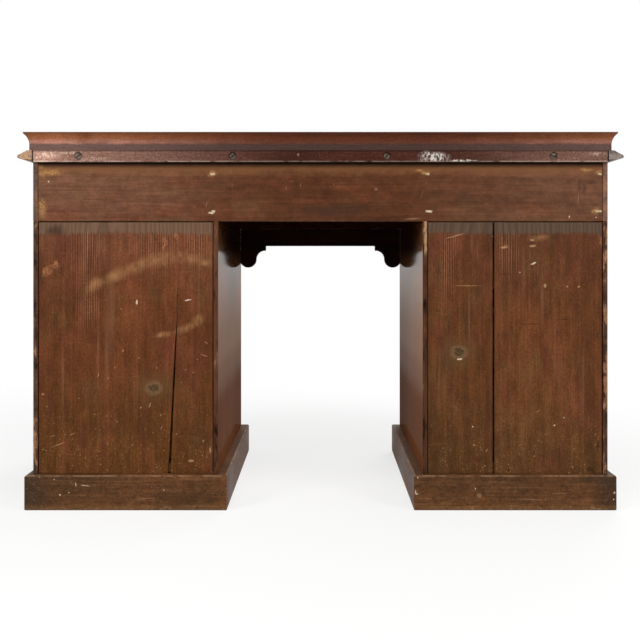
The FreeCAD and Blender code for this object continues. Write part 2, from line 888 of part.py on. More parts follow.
os.makedirs("parts", exist_ok=True)
desk = {}
desk.update(top_section_top())
desk.update(frieze())
all_rails = []
all_runners = kickers()
for pedestal_name, pedestal_hand in hands.items():
    pedestal_nodes, new_rails, new_runners = pedestal(pedestal_name, pedestal_hand)
    desk.update(pedestal_nodes)
    all_rails += new_rails
    all_runners += new_runners
desk["pedestal_drawer_rails"] = all_rails
desk["drawer_runners_and_kickers"] = all_runners
desk["plinth_glue_blocks"] = glue_blocks()
desk["drawer_stops"] = drawer_stops()
for bay_name, bay_room in drawer_bays().items():
    desk.update(drawer(bay_name, bay_room))
save(desk)
print(len(desk), "nodes,", sum(len(solids) for solids in desk.values()), "solids")
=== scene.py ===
"""Looks of a twin pedestal writing desk: camera, studio, aged wood, leather and metal.

Lengths in the tables are millimetres in the frame of the part: x along the desk, y to its plain
back, z up. Marks are written as (x, z, half length, half width, turn in degrees if any).
"""

import math

import bpy
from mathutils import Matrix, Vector


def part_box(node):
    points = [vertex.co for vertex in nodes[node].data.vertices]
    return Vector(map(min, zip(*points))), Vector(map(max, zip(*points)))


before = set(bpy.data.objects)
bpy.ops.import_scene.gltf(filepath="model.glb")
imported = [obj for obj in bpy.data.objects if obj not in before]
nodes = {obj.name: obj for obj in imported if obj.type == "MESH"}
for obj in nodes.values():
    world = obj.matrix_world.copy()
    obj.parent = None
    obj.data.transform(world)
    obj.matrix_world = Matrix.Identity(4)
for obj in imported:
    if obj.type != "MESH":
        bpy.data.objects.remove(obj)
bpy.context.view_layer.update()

MM = 0.001
FAR = 1000.0

# Camera: level, behind the desk, with the horizon above the middle of the picture.
PICTURE_SIDE = 640
FOCAL_PIXELS = 974.0
SENSOR_WIDTH = 36.0
CAMERA_PLACE = (0.0, 2.255, 0.5053)
CAMERA_TURN = (math.radians(90), 0, math.radians(180))
SHIFT_PIXELS = (-0.4, -62.2)

# Studio: (place, target, size, watts)
LAMPS = {
    "lamp_above_back": ((0.1, 2.0, 2.9), (0.0, 0.29, 0.45), 1.8, 48.0),
    "lamp_back_right": ((1.75, 1.9, 1.35), (0.35, 0.29, 0.45), 0.9, 26.0),
    "lamp_back_left": ((-1.85, 1.9, 1.35), (-0.35, 0.29, 0.45), 0.9, 20.0),
    "lamp_front": ((-1.2, -2.8, 2.2), (0.0, -0.28, 0.4), 2.2, 70.0),
}
LARGEST_GLINT = 1.0
AMBIENT = 0.36
FLOOR_RADIUS = 7.0
FLOOR_DROP = 0.0004
FLOOR_FADE = (0.8, 2.2)
FLOOR_PALE = (0.88, 0.88, 0.87)
FLOOR_BOUNCE = (0.36, 0.35, 0.34)
FLOOR_GLOW_SHARE = 0.70

# Wood tones, linear
BARE_PALE = (0.62, 0.50, 0.35)
OCHRE = (0.40, 0.205, 0.07)
TAN = (0.305, 0.148, 0.062)
RED_DEEP = (0.058, 0.015, 0.0060)
RED_BRIGHT = (0.165, 0.047, 0.0165)
PINE_TONES = ((0.215, 0.122, 0.055), (0.33, 0.20, 0.098))
OAK_TONES = ((0.250, 0.146, 0.068), (0.360, 0.226, 0.114))

RIBS_PER_METRE = 205.0

# Where a look changes, in metres, from and to
LEFT_JOINT = (-0.350, -0.348)
FADED_BAND = (0.5610, 0.5705)
# The painted shadow under the strip runs between these heights
STRIP_SHADOW = (0.6855, 0.6975)
STRIP_LOW_ARRIS = (0.7006, 0.6990)
STRIP_HIGH_ARRIS = (0.7178, 0.7192)
STRIP_PALE_END = (0.500, 0.552)
STRIP_JOINT = (0.5752, 0.5772)
PLINTH_ENDS = (0.564, 0.604)
PLINTH_FRONT = (-0.280, -0.292)
PLINTH_RIM = (0.0676, 0.0686)
PLINTH_INSIDE = ((0.205, 0.215), (0.570, 0.560), (0.282, 0.272))
CASE_FRONT = (-0.270, -0.275)
HOLLOW_HIGHLIGHT = (0.7485, 0.7435)
HOLLOW_SLATE = (0.7405, 0.7350)
TOP_LIP = (0.7535, 0.7548)
MITRE = (0.0009, 0.0003)
# The slots of the strip's screws are painted black below this y: painted shade
SLOT_FLOOR = 0.2991
# How far a face is turned one way: square to it, or only more or less
SQUARE_ON = (0.6, 0.9)
TURNED = (0.3, 0.7)

# Shine of the kneehole sides by height, as ramps that add up: from, to, share at each
KNEEHOLE_SHINE = ((0.205, 0.268, 0.12, 0.34), (0.28, 0.32, 0.0, 0.14), (0.32, 0.60, 0.0, 1.35))

# Gilt border of the leather: (distance from the edge, half width) of its lines, then its lozenges
GILT_LINES = ((0.014, 0.0009), (0.030, 0.0009), (0.0335, 0.0006))
LOZENGE_INSET = 0.022
LOZENGE_LENGTH = 0.012

# Back boards of the pedestal at +x
RIGHT_BACK = dict(
    seed=1, ring_centre=0.43, inner_share=1.0, knot=(336, 243, 10, 8),
    upper=(0.132, 0.0465, 0.0205), middle=(0.124, 0.0395, 0.013),
    lower=(0.114, 0.0415, 0.011), faded=(0.146, 0.085, 0.052),
    dents=[(370, 416, 6, 2.1, 86), (267, 420, 7.5, 1.8, 12)],
    scratches=[
        (527, 129, 17.5, 1.0, 19), (234, 308, 10, 0.8, -15), (230, 334, 5, 1.2, -30),
        (398, 318, 4, 1.4, 60), (448, 269, 5.5, 1.3, 75), (344, 208, 7, 1.4, 70),
        (362, 203, 2.6, 1.6, 60), (280, 254, 2.4, 1.4, 40), (474, 102, 2.6, 1.3, 80),
        (236, 136, 3, 2.2, 40), (559, 119, 2.2, 1.6), (261, 96, 7.5, 3.4, 4), (222, 118, 2.5, 9),
        (415, 283, 2, 1.2, 30), (366, 303, 2.6, 1.0, 60), (248, 300, 1.8, 1.2), (272, 280, 2.8, 1.0, 20),
        (256, 274, 2, 1.4), (487, 222, 2.4, 1.2, 70), (322, 188, 2.6, 1.2, 60), (320, 163, 5, 1.1, 65),
        (444, 89, 2, 1.6), (402, 402, 2.4, 1.0, 50), (330, 284, 4, 0.9, 75), (428, 262, 3, 0.9, 40),
        (290, 150, 2.4, 1.2, 60), (500, 150, 8, 0.9, 24), (540, 146, 7, 0.8, 12), (380, 128, 3, 1.0, 70),
        (560, 230, 3, 2.0, 60), (552, 205, 2.4, 1.6), (410, 175, 2.4, 1.2, 45), (455, 190, 2.0, 1.1),
    ],
    smears=[
        (452, 452, 36, 18, 32), (412, 470, 42, 19, 28), (368, 490, 46, 19, 24), (322, 503, 46, 21, 8),
        (270, 505, 50, 16, -6), (236, 497, 30, 12, -14), (318, 350, 28, 10, 2), (272, 363, 40, 12, 30),
        (246, 381, 22, 15, 36),
    ],
    scrapes=[(551, 478, 15, 10, 40), (534, 489, 14, 9, 8), (313, 531, 5, 20), (291, 547, 6, 10)],
    stains=[(280, 205, 2, 9, 20), (535, 560, 30, 18)],
    cracks=[(288, 428, 1.0, 54, -3.4)],
    ribs=[(474, 530, 46, 110), (330, 540, 60, 100), (250, 540, 34, 90), (470, 420, 40, 90)],
    streaks=[
        (424, 400, 16, 140), (431, 330, 7, 150), (448, 330, 3, 120), (300, 525, 5, 55), (318, 520, 3, 60),
        (286, 530, 3, 45), (520, 250, 4, 120), (370, 240, 3, 110), (245, 420, 4, 80), (448, 535, 7, 40),
        (436, 520, 4, 50),
    ],
)

# Back boards of the pedestal at -x, whose inner board is darker
LEFT_BACK = dict(
    seed=51, ring_centre=-0.33, inner_share=0.86, knot=(-279, 315, 10, 8),
    upper=(0.11, 0.037, 0.016), middle=(0.114, 0.039, 0.013),
    lower=(0.104, 0.0425, 0.014), faded=(0.097, 0.062, 0.042),
    dents=[
        (-430, 494, 7, 2, 25), (-281, 301, 6, 2, 3), (-307, 165, 2.2, 1.8), (-491, 183, 1.8, 1.5),
        (-472, 168, 3, 1.6, 45), (-402, 476, 1.8, 1.4),
    ],
    scratches=[
        (-370, 526, 9, 2.2), (-428, 529, 9, 3.5, 3), (-427, 541, 6, 2.5), (-296, 449, 35, 0.8, -1),
        (-453, 449, 4, 5), (-498, 447, 2.5, 2), (-521, 447, 3, 2), (-271, 549, 26, 1.1, 16),
        (-439, 196, 6, 1, 35), (-310, 128, 4, 2, 30), (-335, 117, 5, 1.5, 60),
    ],
    smears=[(-440, 545, 28, 9)],
    scrapes=[(-565, 540, 4, 16), (-372, 527, 8, 3)],
    stains=[
        (-560, 126, 5, 15), (-382, 79, 4, 6), (-224, 157, 3, 6), (-545, 78, 12, 5), (-559, 346, 4, 9),
    ],
    cracks=[(-375, 472, 20, 0.9), (-420, 372, 30, 1.0), (-488, 381, 24, 0.8, 3)],
    ribs=[(-380, 520, 34, 90), (-256, 500, 24, 110)],
    streaks=[
        (-473, 320, 2.5, 120), (-481, 300, 2, 100), (-447, 420, 5, 70), (-395, 500, 3, 60),
        (-410, 480, 2.5, 70), (-300, 380, 3, 90), (-240, 250, 4, 110), (-530, 250, 3, 130),
        (-305, 535, 4, 34), (-316, 520, 3, 40),
    ],
)

# Marks on the board behind the frieze drawers
FRIEZE_DENTS = [
    (218, 674, 6, 3.2), (220, 596, 8, 2.8), (-220, 599, 8, 3.4), (-558, 599, 4.2, 3), (-556, 587, 2, 1.6),
    (548, 659, 2, 1.6), (-502, 588, 1.6, 4),
]
FRIEZE_OCHRE = [
    (218, 675, 13, 8), (-212, 676, 13, 7, -8), (-200, 681, 16, 4), (-560, 676, 10, 7), (-535, 683, 18, 5),
    (545, 679, 36, 10), (560, 676, 16, 13), (562, 606, 15, 26), (566, 690, 14, 8), (-556, 600, 12, 9),
]
FRIEZE_SCRATCHES = [
    (69, 646, 5, 0.9, 70), (58, 660, 4, 0.9, 20), (-520, 623, 17, 1.1, 90), (-186, 584, 20, 2, 5),
    (-112, 643, 5, 3), (498, 660, 6, 0.8, 80), (40, 652, 8, 0.8, 85), (-205, 634, 12, 0.8, 75),
    (230, 612, 10, 1.2, 85),
]
FRIEZE_STAINS = [
    (500, 690, 3, 9), (184, 667, 9, 9), (-522, 652, 6, 26), (-531, 644, 7, 20), (-545, 660, 20, 10),
    (-180, 690, 8, 6), (-20, 600, 120, 22), (330, 690, 22, 5),
]

# Marks on the strip under the top's back edge
STRIP_RUBBED = [(-228, 707, 38, 14), (-214, 712, 18, 11), (-284, 700, 40, 2.6)]
STRIP_SCREWS = [(x, 710, 9.6, 9.2) for x in (-468, -133, 176, 486)]
STRIP_PALE = [
    (548, 712, 40, 10), (562, 706, 18, 7), (44, 710, 3, 7), (455, 704, 40, 5), (500, 716, 40, 4),
    (-555, 714, 24, 6),
]

# Marks on the plinths' back boards
PLINTH_DENTS = [
    (-190, 37, 1.6, 6), (-193, 33, 3, 2, 30), (503, 36, 2, 1.6), (521, 31, 2.2, 1.8), (313, 41, 1.8, 1.6),
    (532, 62, 2, 1.4), (470, 50, 12, 0.9, -6), (489, 52, 0.9, 5, 15), (-310, 44, 1.6, 2),
    (-195, 66, 2.4, 2), (-588, 36, 2, 2), (-586, 22, 1.8, 1.6),
]
PLINTH_SCRATCHES = [(-318, 30, 7, 6), (-480, 34, 22, 1.2, 3), (-420, 22, 30, 1, -2), (350, 24, 26, 1, 2)]


class Net:
    """The nodes of a material or a world. A value may be a number, a tuple or another node's socket."""

    def __init__(self, owner):
        self.owner = owner
        owner.use_nodes = True
        self.tree = owner.node_tree
        self.tree.nodes.clear()

    def put(self, socket, value):
        if isinstance(value, bpy.types.NodeSocket):
            self.tree.links.new(value, socket)
        elif socket.type == "RGBA":
            socket.default_value = (*value, 1.0)
        else:
            socket.default_value = value

    def add(self, kind, settings=None, values=(), **inputs):
        """A new node, its inputs given in their order or by name."""
        made = self.tree.nodes.new("ShaderNode" + kind)
        for name, value in (settings or {}).items():
            setattr(made, name, value)
        for socket, value in zip(made.inputs, values):
            self.put(socket, value)
        for name, value in inputs.items():
            self.put(made.inputs[name.replace("_", " ")], value)
        return made

    def calc(self, kind, *values):
        return self.add("Math", {"operation": kind}, values).outputs[0]

    def chain(self, kind, values):
        total = values[0]
        for value in values[1:]:
            total = self.calc(kind, total, value)
        return total

    def times(self, *values):
        return self.chain("MULTIPLY", values)

    def most(self, *values):
        return self.chain("MAXIMUM", values)

    def total(self, *values):
        return self.chain("ADD", values)

    def less(self, first, second):
        return self.calc("SUBTRACT", first, second)

    def inverse(self, value):
        return self.less(1.0, value)

    def size(self, value):
        return self.calc("ABSOLUTE", value)

    def madd(self, value, factor, more):
        """The value times a factor, and something more."""
        return self.calc("MULTIPLY_ADD", value, factor, more)

    def vector(self, kind, *values):
        made = self.add("VectorMath", {"operation": kind}, values)
        return made.outputs["Value" if kind in ("LENGTH", "DOT_PRODUCT") else "Vector"]

    def seen_rays(self):
        """1 for camera, mirror and glass rays, 0 for the rest."""
        path = self.add("LightPath").outputs
        return self.most(path["Is Camera Ray"], path["Is Glossy Ray"], path["Is Transmission Ray"])


class Surface(Net):
    """A material. Its colour is built up in layers, from the place and the facing of each point."""

    def __init__(self, name, seed=0, moved=False):
        super().__init__(bpy.data.materials.new(name))
        self.seed = seed
        self.colour = None
        self.true_place = self.add("TexCoord").outputs["Object"]
        self.place = self.shifted() if moved else self.true_place
        self.x, self.y, self.z = self.add("SeparateXYZ", Vector=self.true_place).outputs
        self.geometry = self.add("NewGeometry").outputs
        turned = self.add("SeparateXYZ", Vector=self.geometry["Normal"]).outputs
        self.facing_x, self.facing_y, self.facing_z = turned

    def step(self, value, low, high, to_low=0.0, to_high=1.0):
        """Runs smoothly from to_low to to_high while the value runs from low to high."""
        made = self.add(
            "MapRange", {"interpolation_type": "SMOOTHSTEP"},
            Value=value, From_Min=low, From_Max=high, To_Min=to_low, To_Max=to_high,
        )
        return made.outputs[0]

    def mix(self, share, first, second):
        made = self.add("Mix", {"data_type": "RGBA"})
        for index, value in ((0, share), (6, first), (7, second)):
            self.put(made.inputs[index], value)
        return made.outputs[2]

    def dim(self, colour, factor):
        """The colour times a number that may be a socket."""
        made = self.add("VectorMath", {"operation": "SCALE"}, (colour,), Scale=factor)
        return made.outputs["Vector"]

    def cover(self, tone, *shares):
        """Lays a tone over the colour so far, as far as the product of the shares."""
        self.colour = self.mix(self.times(*shares), self.colour, tone)

    def shade(self, factor):
        self.colour = self.dim(self.colour, factor)

    def vary(self, *ramp):
        """Darkens and lightens the colour so far along a ramp, as step has it."""
        self.shade(self.step(*ramp))

    def noise(self, per_metre, detail=2, rough=0.5, seed=0, place=None, warp=0.0):
        """Noise with a number of lumps per metre: one for all axes, or three for x, y and z."""
        if not isinstance(per_metre, tuple):
            per_metre = (per_metre,) * 3
        start = self.seed + seed
        offset = (start, start * 1.7, start * 2.3)
        stretched = self.vector("MULTIPLY_ADD", place or self.place, per_metre, offset)
        made = self.add(
            "TexNoise", Vector=stretched, Scale=1.0, Detail=detail, Roughness=rough, Distortion=warp,
        )
        return made.outputs[0]

    def patch(self, per_metre, low, high, to_low=0.0, to_high=1.0, detail=5, rough=0.7, **more):
        """Patches of noise, smoothly cut off between two of its levels."""
        return self.step(self.noise(per_metre, detail, rough, **more), low, high, to_low, to_high)

    def shaken(self, amount, per_metre=220.0, seed=0):
        """Places moved a little at random, so that a mark's outline is ragged."""
        start = self.seed + seed
        stretched = self.vector("MULTIPLY_ADD", self.place, (per_metre,) * 3, (start,) * 3)
        random = self.add("TexNoise", Vector=stretched, Scale=1.0, Detail=2.0).outputs[1]
        centred = self.vector("SUBTRACT", random, (0.5, 0.5, 0.5))
        return self.vector("MULTIPLY_ADD", centred, (amount,) * 3, self.place)

    def reach(self, place, x, z, long, wide, turn=0):
        """How far out from the middle of a mark a place is: 1 on the mark's outline."""
        local = self.add(
            "Mapping", {"vector_type": "TEXTURE"}, Vector=place, Location=(x * MM, 0, z * MM),
            Rotation=(0, math.radians(turn), 0), Scale=(long * MM, FAR, wide * MM),
        )
        return self.vector("LENGTH", local.outputs[0])

    def marks(self, rows, place, soft):
        """One mask for several marks on a board that stands in the x-z plane."""
        return self.most(*[self.step(self.reach(place, *row), 1.0, 1.0 - soft) for row in rows])

    def rings(self, along, across, spacing, centre, depth, taper, wave, seed=0):
        """Growth lines of a board sawn off a log: 1 on a line and 0 between."""
        side = self.calc("POWER", self.less(across, centre), 2.0)
        below = self.calc("POWER", self.madd(along, taper, depth), 2.0)
        reach = self.calc("SQRT", self.total(side, below))
        stretched = self.add(
            "CombineXYZ", X=self.times(along, 2.2), Y=self.times(across, 14.0), Z=self.seed + seed,
        )
        bend = self.add("TexNoise", Vector=stretched.outputs[0], Scale=1.0, Detail=2.0).outputs[0]
        turn = self.calc("FRACT", self.calc("DIVIDE", self.madd(bend, wave, reach), spacing))
        return self.times(self.step(turn, 0.25, 0.86), self.step(turn, 1.0, 0.9))

    def flecks(self, place, per_metre, size, chance):
        """Small round spots, one in some cells of a random grid."""
        stretched = self.vector("MULTIPLY", place, per_metre)
        cells = self.add("TexVoronoi", {"feature": "F1"}, Vector=stretched, Scale=1.0).outputs
        drawn = self.add("SeparateColor", Color=cells["Color"]).outputs[0]
        spot = self.step(cells["Distance"], size, size * 0.4)
        return self.times(spot, self.step(drawn, 1.0 - chance, 1.04 - chance))

    def shifted(self):
        """Places moved by a random step of their own for each node, so that no two boards match."""
        random = self.add("ObjectInfo").outputs["Random"]
        steps = self.add("CombineXYZ", X=random, Y=random, Z=random).outputs[0]
        return self.vector("MULTIPLY_ADD", (7.3, 3.1, 5.7), steps, self.true_place)

    def soft_edge(self, radius):
        """(normal with rounded arrises, 0 on the flat to 1 on an arris)."""
        rounded = self.add("Bevel", {"samples": 6}, Radius=radius).outputs[0]
        same = self.vector("DOT_PRODUCT", rounded, self.geometry["True Normal"])
        return rounded, self.step(same, 0.995, 0.86)

    def unpolished(self, rough, coat, mask, least):
        """(roughness, coat): at least so rough and without the coat where the mask is 1."""
        return self.most(rough, self.times(mask, least)), self.times(coat, self.inverse(mask))

    def finished(self, rough, height, depth, normal=None, coat=0.0, gloss=0.5, **fixed):
        """The material, with its colour so far and with a height that is turned into bumps."""
        bump = self.add("Bump", Strength=1.0, Distance=depth, Height=height)
        if normal is not None:
            self.put(bump.inputs["Normal"], normal)
        shader = self.add(
            "BsdfPrincipled", Base_Color=self.colour, Roughness=rough, Coat_Weight=coat,
            Specular_IOR_Level=gloss, Normal=bump.outputs[0], **fixed,
        )
        self.add("OutputMaterial", Surface=shader.outputs[0])
        return self.owner


def scaled(tone, factor):
    return tuple(min(1.0, factor * part) for part in tone)


def back_boards(
    name, seed, ring_centre, inner_share, knot, upper, middle, lower, faded,
    dents, scratches, smears, scrapes, stains, cracks, ribs, streaks,
):
    """Stained softwood of a pedestal's back, upright grain, with its dents, smears and knot."""
    net = Surface(name, seed)
    ragged = net.shaken(0.0035)
    wide = net.shaken(0.016, per_metre=45.0, seed=3)
    drift = net.noise((6, 6, 3), detail=4, rough=0.6)
    level = net.madd(net.noise((9, 9, 5), detail=4, rough=0.6, seed=13), 0.2, net.z)
    net.colour = net.mix(net.step(level, 0.22, 0.42), lower, middle)
    net.cover(upper, net.step(level, 0.5, 0.66))
    net.vary(drift, 0.34, 0.66, 0.86, 1.14)
    net.vary(net.x, *LEFT_JOINT, 1.0, inner_share)
    redder = net.patch((13, 13, 6), 0.48, 0.66, 0.0, 0.5, detail=4, rough=0.65, seed=11)
    net.cover((0.14, 0.04, 0.02), redder)
    net.cover((0.1, 0.05, 0.018), net.patch((17, 17, 8), 0.5, 0.68, 0.0, 0.5, rough=0.68, seed=17))
    mottle = net.noise((46, 46, 17), detail=5, rough=0.7, seed=18)
    net.vary(mottle, 0.32, 0.68, 0.78, 1.22)

    lines = net.rings(net.z, net.x, 0.0072, ring_centre, 0.055, 0.05, 0.03)
    line_mask = net.times(lines, net.patch((16, 16, 1.6), 0.42, 0.7, detail=2, rough=0.5, seed=4), 0.3)
    broad = net.noise((70, 70, 1.2), detail=3, rough=0.6, seed=1)
    narrow = net.noise((240, 240, 3.5), detail=3, rough=0.65, seed=12)
    fibre = net.noise((900, 900, 16), seed=2)
    grit = net.noise((300, 300, 200), detail=4, rough=0.72, seed=14)
    net.vary(broad, 0.34, 0.68, 0.91, 1.1)
    # Close upright ribs, pale on dark, where the rings stand square to the face
    sway = net.madd(net.noise((30, 30, 3), seed=19), 0.012, net.x)
    rib = net.calc("SINE", net.times(sway, RIBS_PER_METRE * math.tau))
    ribbed = net.times(net.marks(ribs, wide, 0.95), net.step(mottle, 0.25, 0.6, 0.4, 1.0))
    lit = net.times(net.step(rib, 0.1, 0.9), net.step(broad, 0.36, 0.62, 0.35, 0.95))
    net.cover((0.29, 0.12, 0.06), lit, ribbed)
    net.shade(net.madd(net.times(net.step(rib, -0.1, -0.9), ribbed), -0.46, 1.0))
    net.vary(narrow, 0.28, 0.72, 0.88, 1.12)
    net.shade(net.madd(line_mask, -0.34, 1.02))
    net.vary(fibre, 0.25, 0.75, 0.9, 1.1)
    net.vary(grit, 0.3, 0.7, 0.76, 1.24)
    streaky = net.step(narrow, 0.3, 0.6, 0.15, 0.45)
    net.cover((0.215, 0.1, 0.052), net.marks(streaks, net.place, 1.0), streaky)

    # A knot: a rough dull core in a pale ragged halo, the wood round it olive
    eye_reach = net.reach(net.shaken(0.009, per_metre=170.0, seed=24), *knot)
    pitted = net.noise((330, 330, 420), detail=3, rough=0.7, seed=25)
    net.cover((0.112, 0.06, 0.022), net.step(eye_reach, 6.0, 1.0, 0.0, 0.5))
    halo, core = net.step(eye_reach, 2.3, 1.2), net.step(eye_reach, 1.2, 0.8)
    net.cover((0.19, 0.105, 0.05), halo, net.step(pitted, 0.32, 0.62, 0.3, 0.85))
    net.cover((0.038, 0.028, 0.012), core, net.step(pitted, 0.66, 0.42, 0.35, 0.95))

    # Grey faded band under the frieze, dirt near the floor
    comb = net.times(net.noise((260, 260, 10), seed=6), 0.011)
    edge = net.total(net.madd(net.noise(12, seed=15), 0.012, net.z), comb)
    band = net.step(edge, *FADED_BAND)
    grey = net.dim(faded, net.step(narrow, 0.3, 0.7, 0.87, 1.13))
    grey = net.dim(grey, net.madd(lines, -0.3, 1.08))
    net.cover(grey, band, 0.9)
    low = net.step(net.madd(net.noise((18, 18, 9), detail=3, seed=7), 0.1, net.z), 0.3, 0.11)
    grime = net.patch((150, 150, 90), 0.52, 0.68, rough=0.72, seed=8)
    net.cover((0.036, 0.018, 0.008), net.madd(low, 0.5, 0.04), grime)

    # Smears follow the grain, scrapes are redder, stains darker
    fringe = net.patch((260, 260, 9), 0.3, 0.66, 0.42, 1.0, detail=2, rough=0.5, seed=9)
    broken = net.patch((60, 60, 34), 0.34, 0.54, 0.28, 1.0, seed=20)
    net.cover(TAN, net.marks(smears, wide, 1.0), fringe, broken)
    torn = net.shaken(0.024, per_metre=75.0, seed=21)
    flaked = net.patch((170, 170, 150), 0.38, 0.58, 0.1, 1.0, rough=0.75, seed=22)
    net.cover((0.33, 0.13, 0.056), net.marks(scrapes, torn, 0.6), flaked, 0.9)
    net.cover((0.034, 0.017, 0.008), net.marks(stains, wide, 0.8), 0.7)
    net.cover((0.022, 0.01, 0.005), net.marks(cracks, ragged, 0.6), 0.75)
    # Hair scratches across the grain, fine flecks, more of them near the floor
    hairs = net.patch((5, 5, 420), 0.7, 0.76, detail=2, rough=0.5, place=wide, seed=16)
    net.cover((0.27, 0.135, 0.06), hairs, 0.3)
    cuts = net.patch((7, 7, 330), 0.71, 0.78, detail=2, rough=0.5, place=wide, seed=23)
    net.cover((0.04, 0.016, 0.007), cuts, net.step(net.z, 0.5, 0.3, 0.2, 0.6))
    spots = net.times(net.flecks(ragged, (130, 1, 110), 0.19, 0.28), net.madd(low, 0.7, 0.16))
    crumbs = net.flecks(ragged, (270, 1, 240), 0.3, 0.42)
    crumbs = net.times(crumbs, low, net.step(mottle, 0.42, 0.62, 0.2, 0.9))
    scratched = net.times(net.marks(scratches, ragged, 0.6), 0.78)
    net.cover((0.42, 0.25, 0.115), net.most(spots, crumbs, scratched))
    bare = net.marks(dents, ragged, 0.35)
    net.cover(BARE_PALE, bare, 0.92)

    rounded, arris = net.soft_edge(0.0016)
    net.cover(TAN, arris, net.patch((70, 70, 30), 0.46, 0.62, detail=4, rough=0.5, seed=5), 0.6)
    rough = net.step(drift, 0.3, 0.7, 0.5, 0.64)
    height = net.madd(net.times(rib, ribbed), 0.3, fibre)
    height = net.madd(grit, 0.5, height)
    height = net.madd(bare, -1.4, height)
    return net.finished(rough, height, 0.00022, rounded, gloss=0.07)


def frieze_board(name):
    """Stained board behind the frieze drawers, level grain, rubbed to ochre round its edges and nails."""
    net = Surface(name)
    ragged = net.shaken(0.004, seed=21)
    wide = net.shaken(0.014, per_metre=60.0, seed=26)
    drift = net.noise((5, 5, 9), detail=5, rough=0.65, seed=22)
    # Lighter towards both ends, most at +x: partly handling wear, partly a painted pool of lamp light
    ends = net.most(net.step(net.x, 0.06, 0.48), net.step(net.x, -0.14, -0.46, 0.0, 0.88))
    net.colour = net.mix(ends, (0.08, 0.0275, 0.0115), (0.146, 0.0625, 0.034))
    net.vary(drift, 0.34, 0.66, 0.84, 1.16)
    net.cover((0.14, 0.04, 0.016), net.patch((6, 6, 20), 0.48, 0.66, 0.0, 0.5, rough=0.65, seed=32))
    net.cover((0.12, 0.061, 0.026), net.patch((14, 14, 16), 0.5, 0.7, 0.0, 0.4, rough=0.68, seed=25))
    lines = net.rings(net.x, net.z, 0.009, 0.72, 0.05, 0.02, 0.03, 3.0)
    broad = net.noise((3.5, 70, 70), detail=4, rough=0.62, seed=23)
    narrow = net.noise((9.0, 300, 300), detail=3, rough=0.65, seed=30)
    fibre = net.noise((14, 900, 900), seed=24)
    grit = net.noise((260, 300, 330), detail=4, rough=0.72, seed=33)
    net.vary(broad, 0.32, 0.68, 0.9, 1.1)
    net.vary(narrow, 0.28, 0.72, 0.88, 1.12)
    net.shade(net.madd(lines, -0.06, 1.02))
    net.vary(fibre, 0.25, 0.75, 0.9, 1.1)
    net.vary(grit, 0.3, 0.7, 0.88, 1.12)
    mottle = net.noise((40, 40, 55), detail=5, rough=0.7, seed=35)
    net.vary(mottle, 0.32, 0.68, 0.82, 1.18)

    net.cover((0.044, 0.024, 0.014), net.marks(FRIEZE_STAINS, wide, 0.9), 0.55)
    # A rubbed band runs under the strip, and down to the nails at both ends
    rubbed = net.madd(net.noise((30, 30, 50), detail=5, rough=0.68, seed=27), 0.034, net.z)
    net.cover((0.205, 0.088, 0.035), net.step(rubbed, 0.682, 0.704, 0.0, 0.68))
    patchy = net.patch((170, 170, 210), 0.38, 0.56, rough=0.75, seed=28)
    net.cover(OCHRE, net.marks(FRIEZE_OCHRE, wide, 0.8), patchy, 0.85)
    hairs = net.patch((380, 380, 8), 0.7, 0.76, detail=2, rough=0.5, place=wide, seed=34)
    net.cover((0.27, 0.145, 0.065), hairs, net.step(net.z, 0.63, 0.68, 0.12, 0.4))
    net.cover((0.36, 0.22, 0.115), net.marks(FRIEZE_SCRATCHES, ragged, 0.7), 0.45)
    net.cover((0.34, 0.2, 0.095), net.flecks(ragged, (75, 1, 95), 0.15, 0.12), 0.35)
    bare = net.marks(FRIEZE_DENTS, ragged, 0.6)
    net.cover(BARE_PALE, bare, 0.95)
    rounded, arris = net.soft_edge(0.0018)
    net.cover(OCHRE, arris, net.patch(60, 0.44, 0.62, detail=4, rough=0.5, seed=29), 0.7)
    # Painted shadow under the strip: the board's top is laid over with black
    shadow_under_strip = net.step(net.madd(net.noise(60, detail=3, seed=20), 0.003, net.z), *STRIP_SHADOW)
    net.cover((0.008, 0.003, 0.0015), shadow_under_strip, 0.97)
    rough = net.step(drift, 0.3, 0.7, 0.5, 0.62)
    height = net.madd(grit, 0.5, fibre)
    height = net.madd(bare, -1.2, height)
    return net.finished(rough, height, 0.0002, rounded, gloss=0.07)


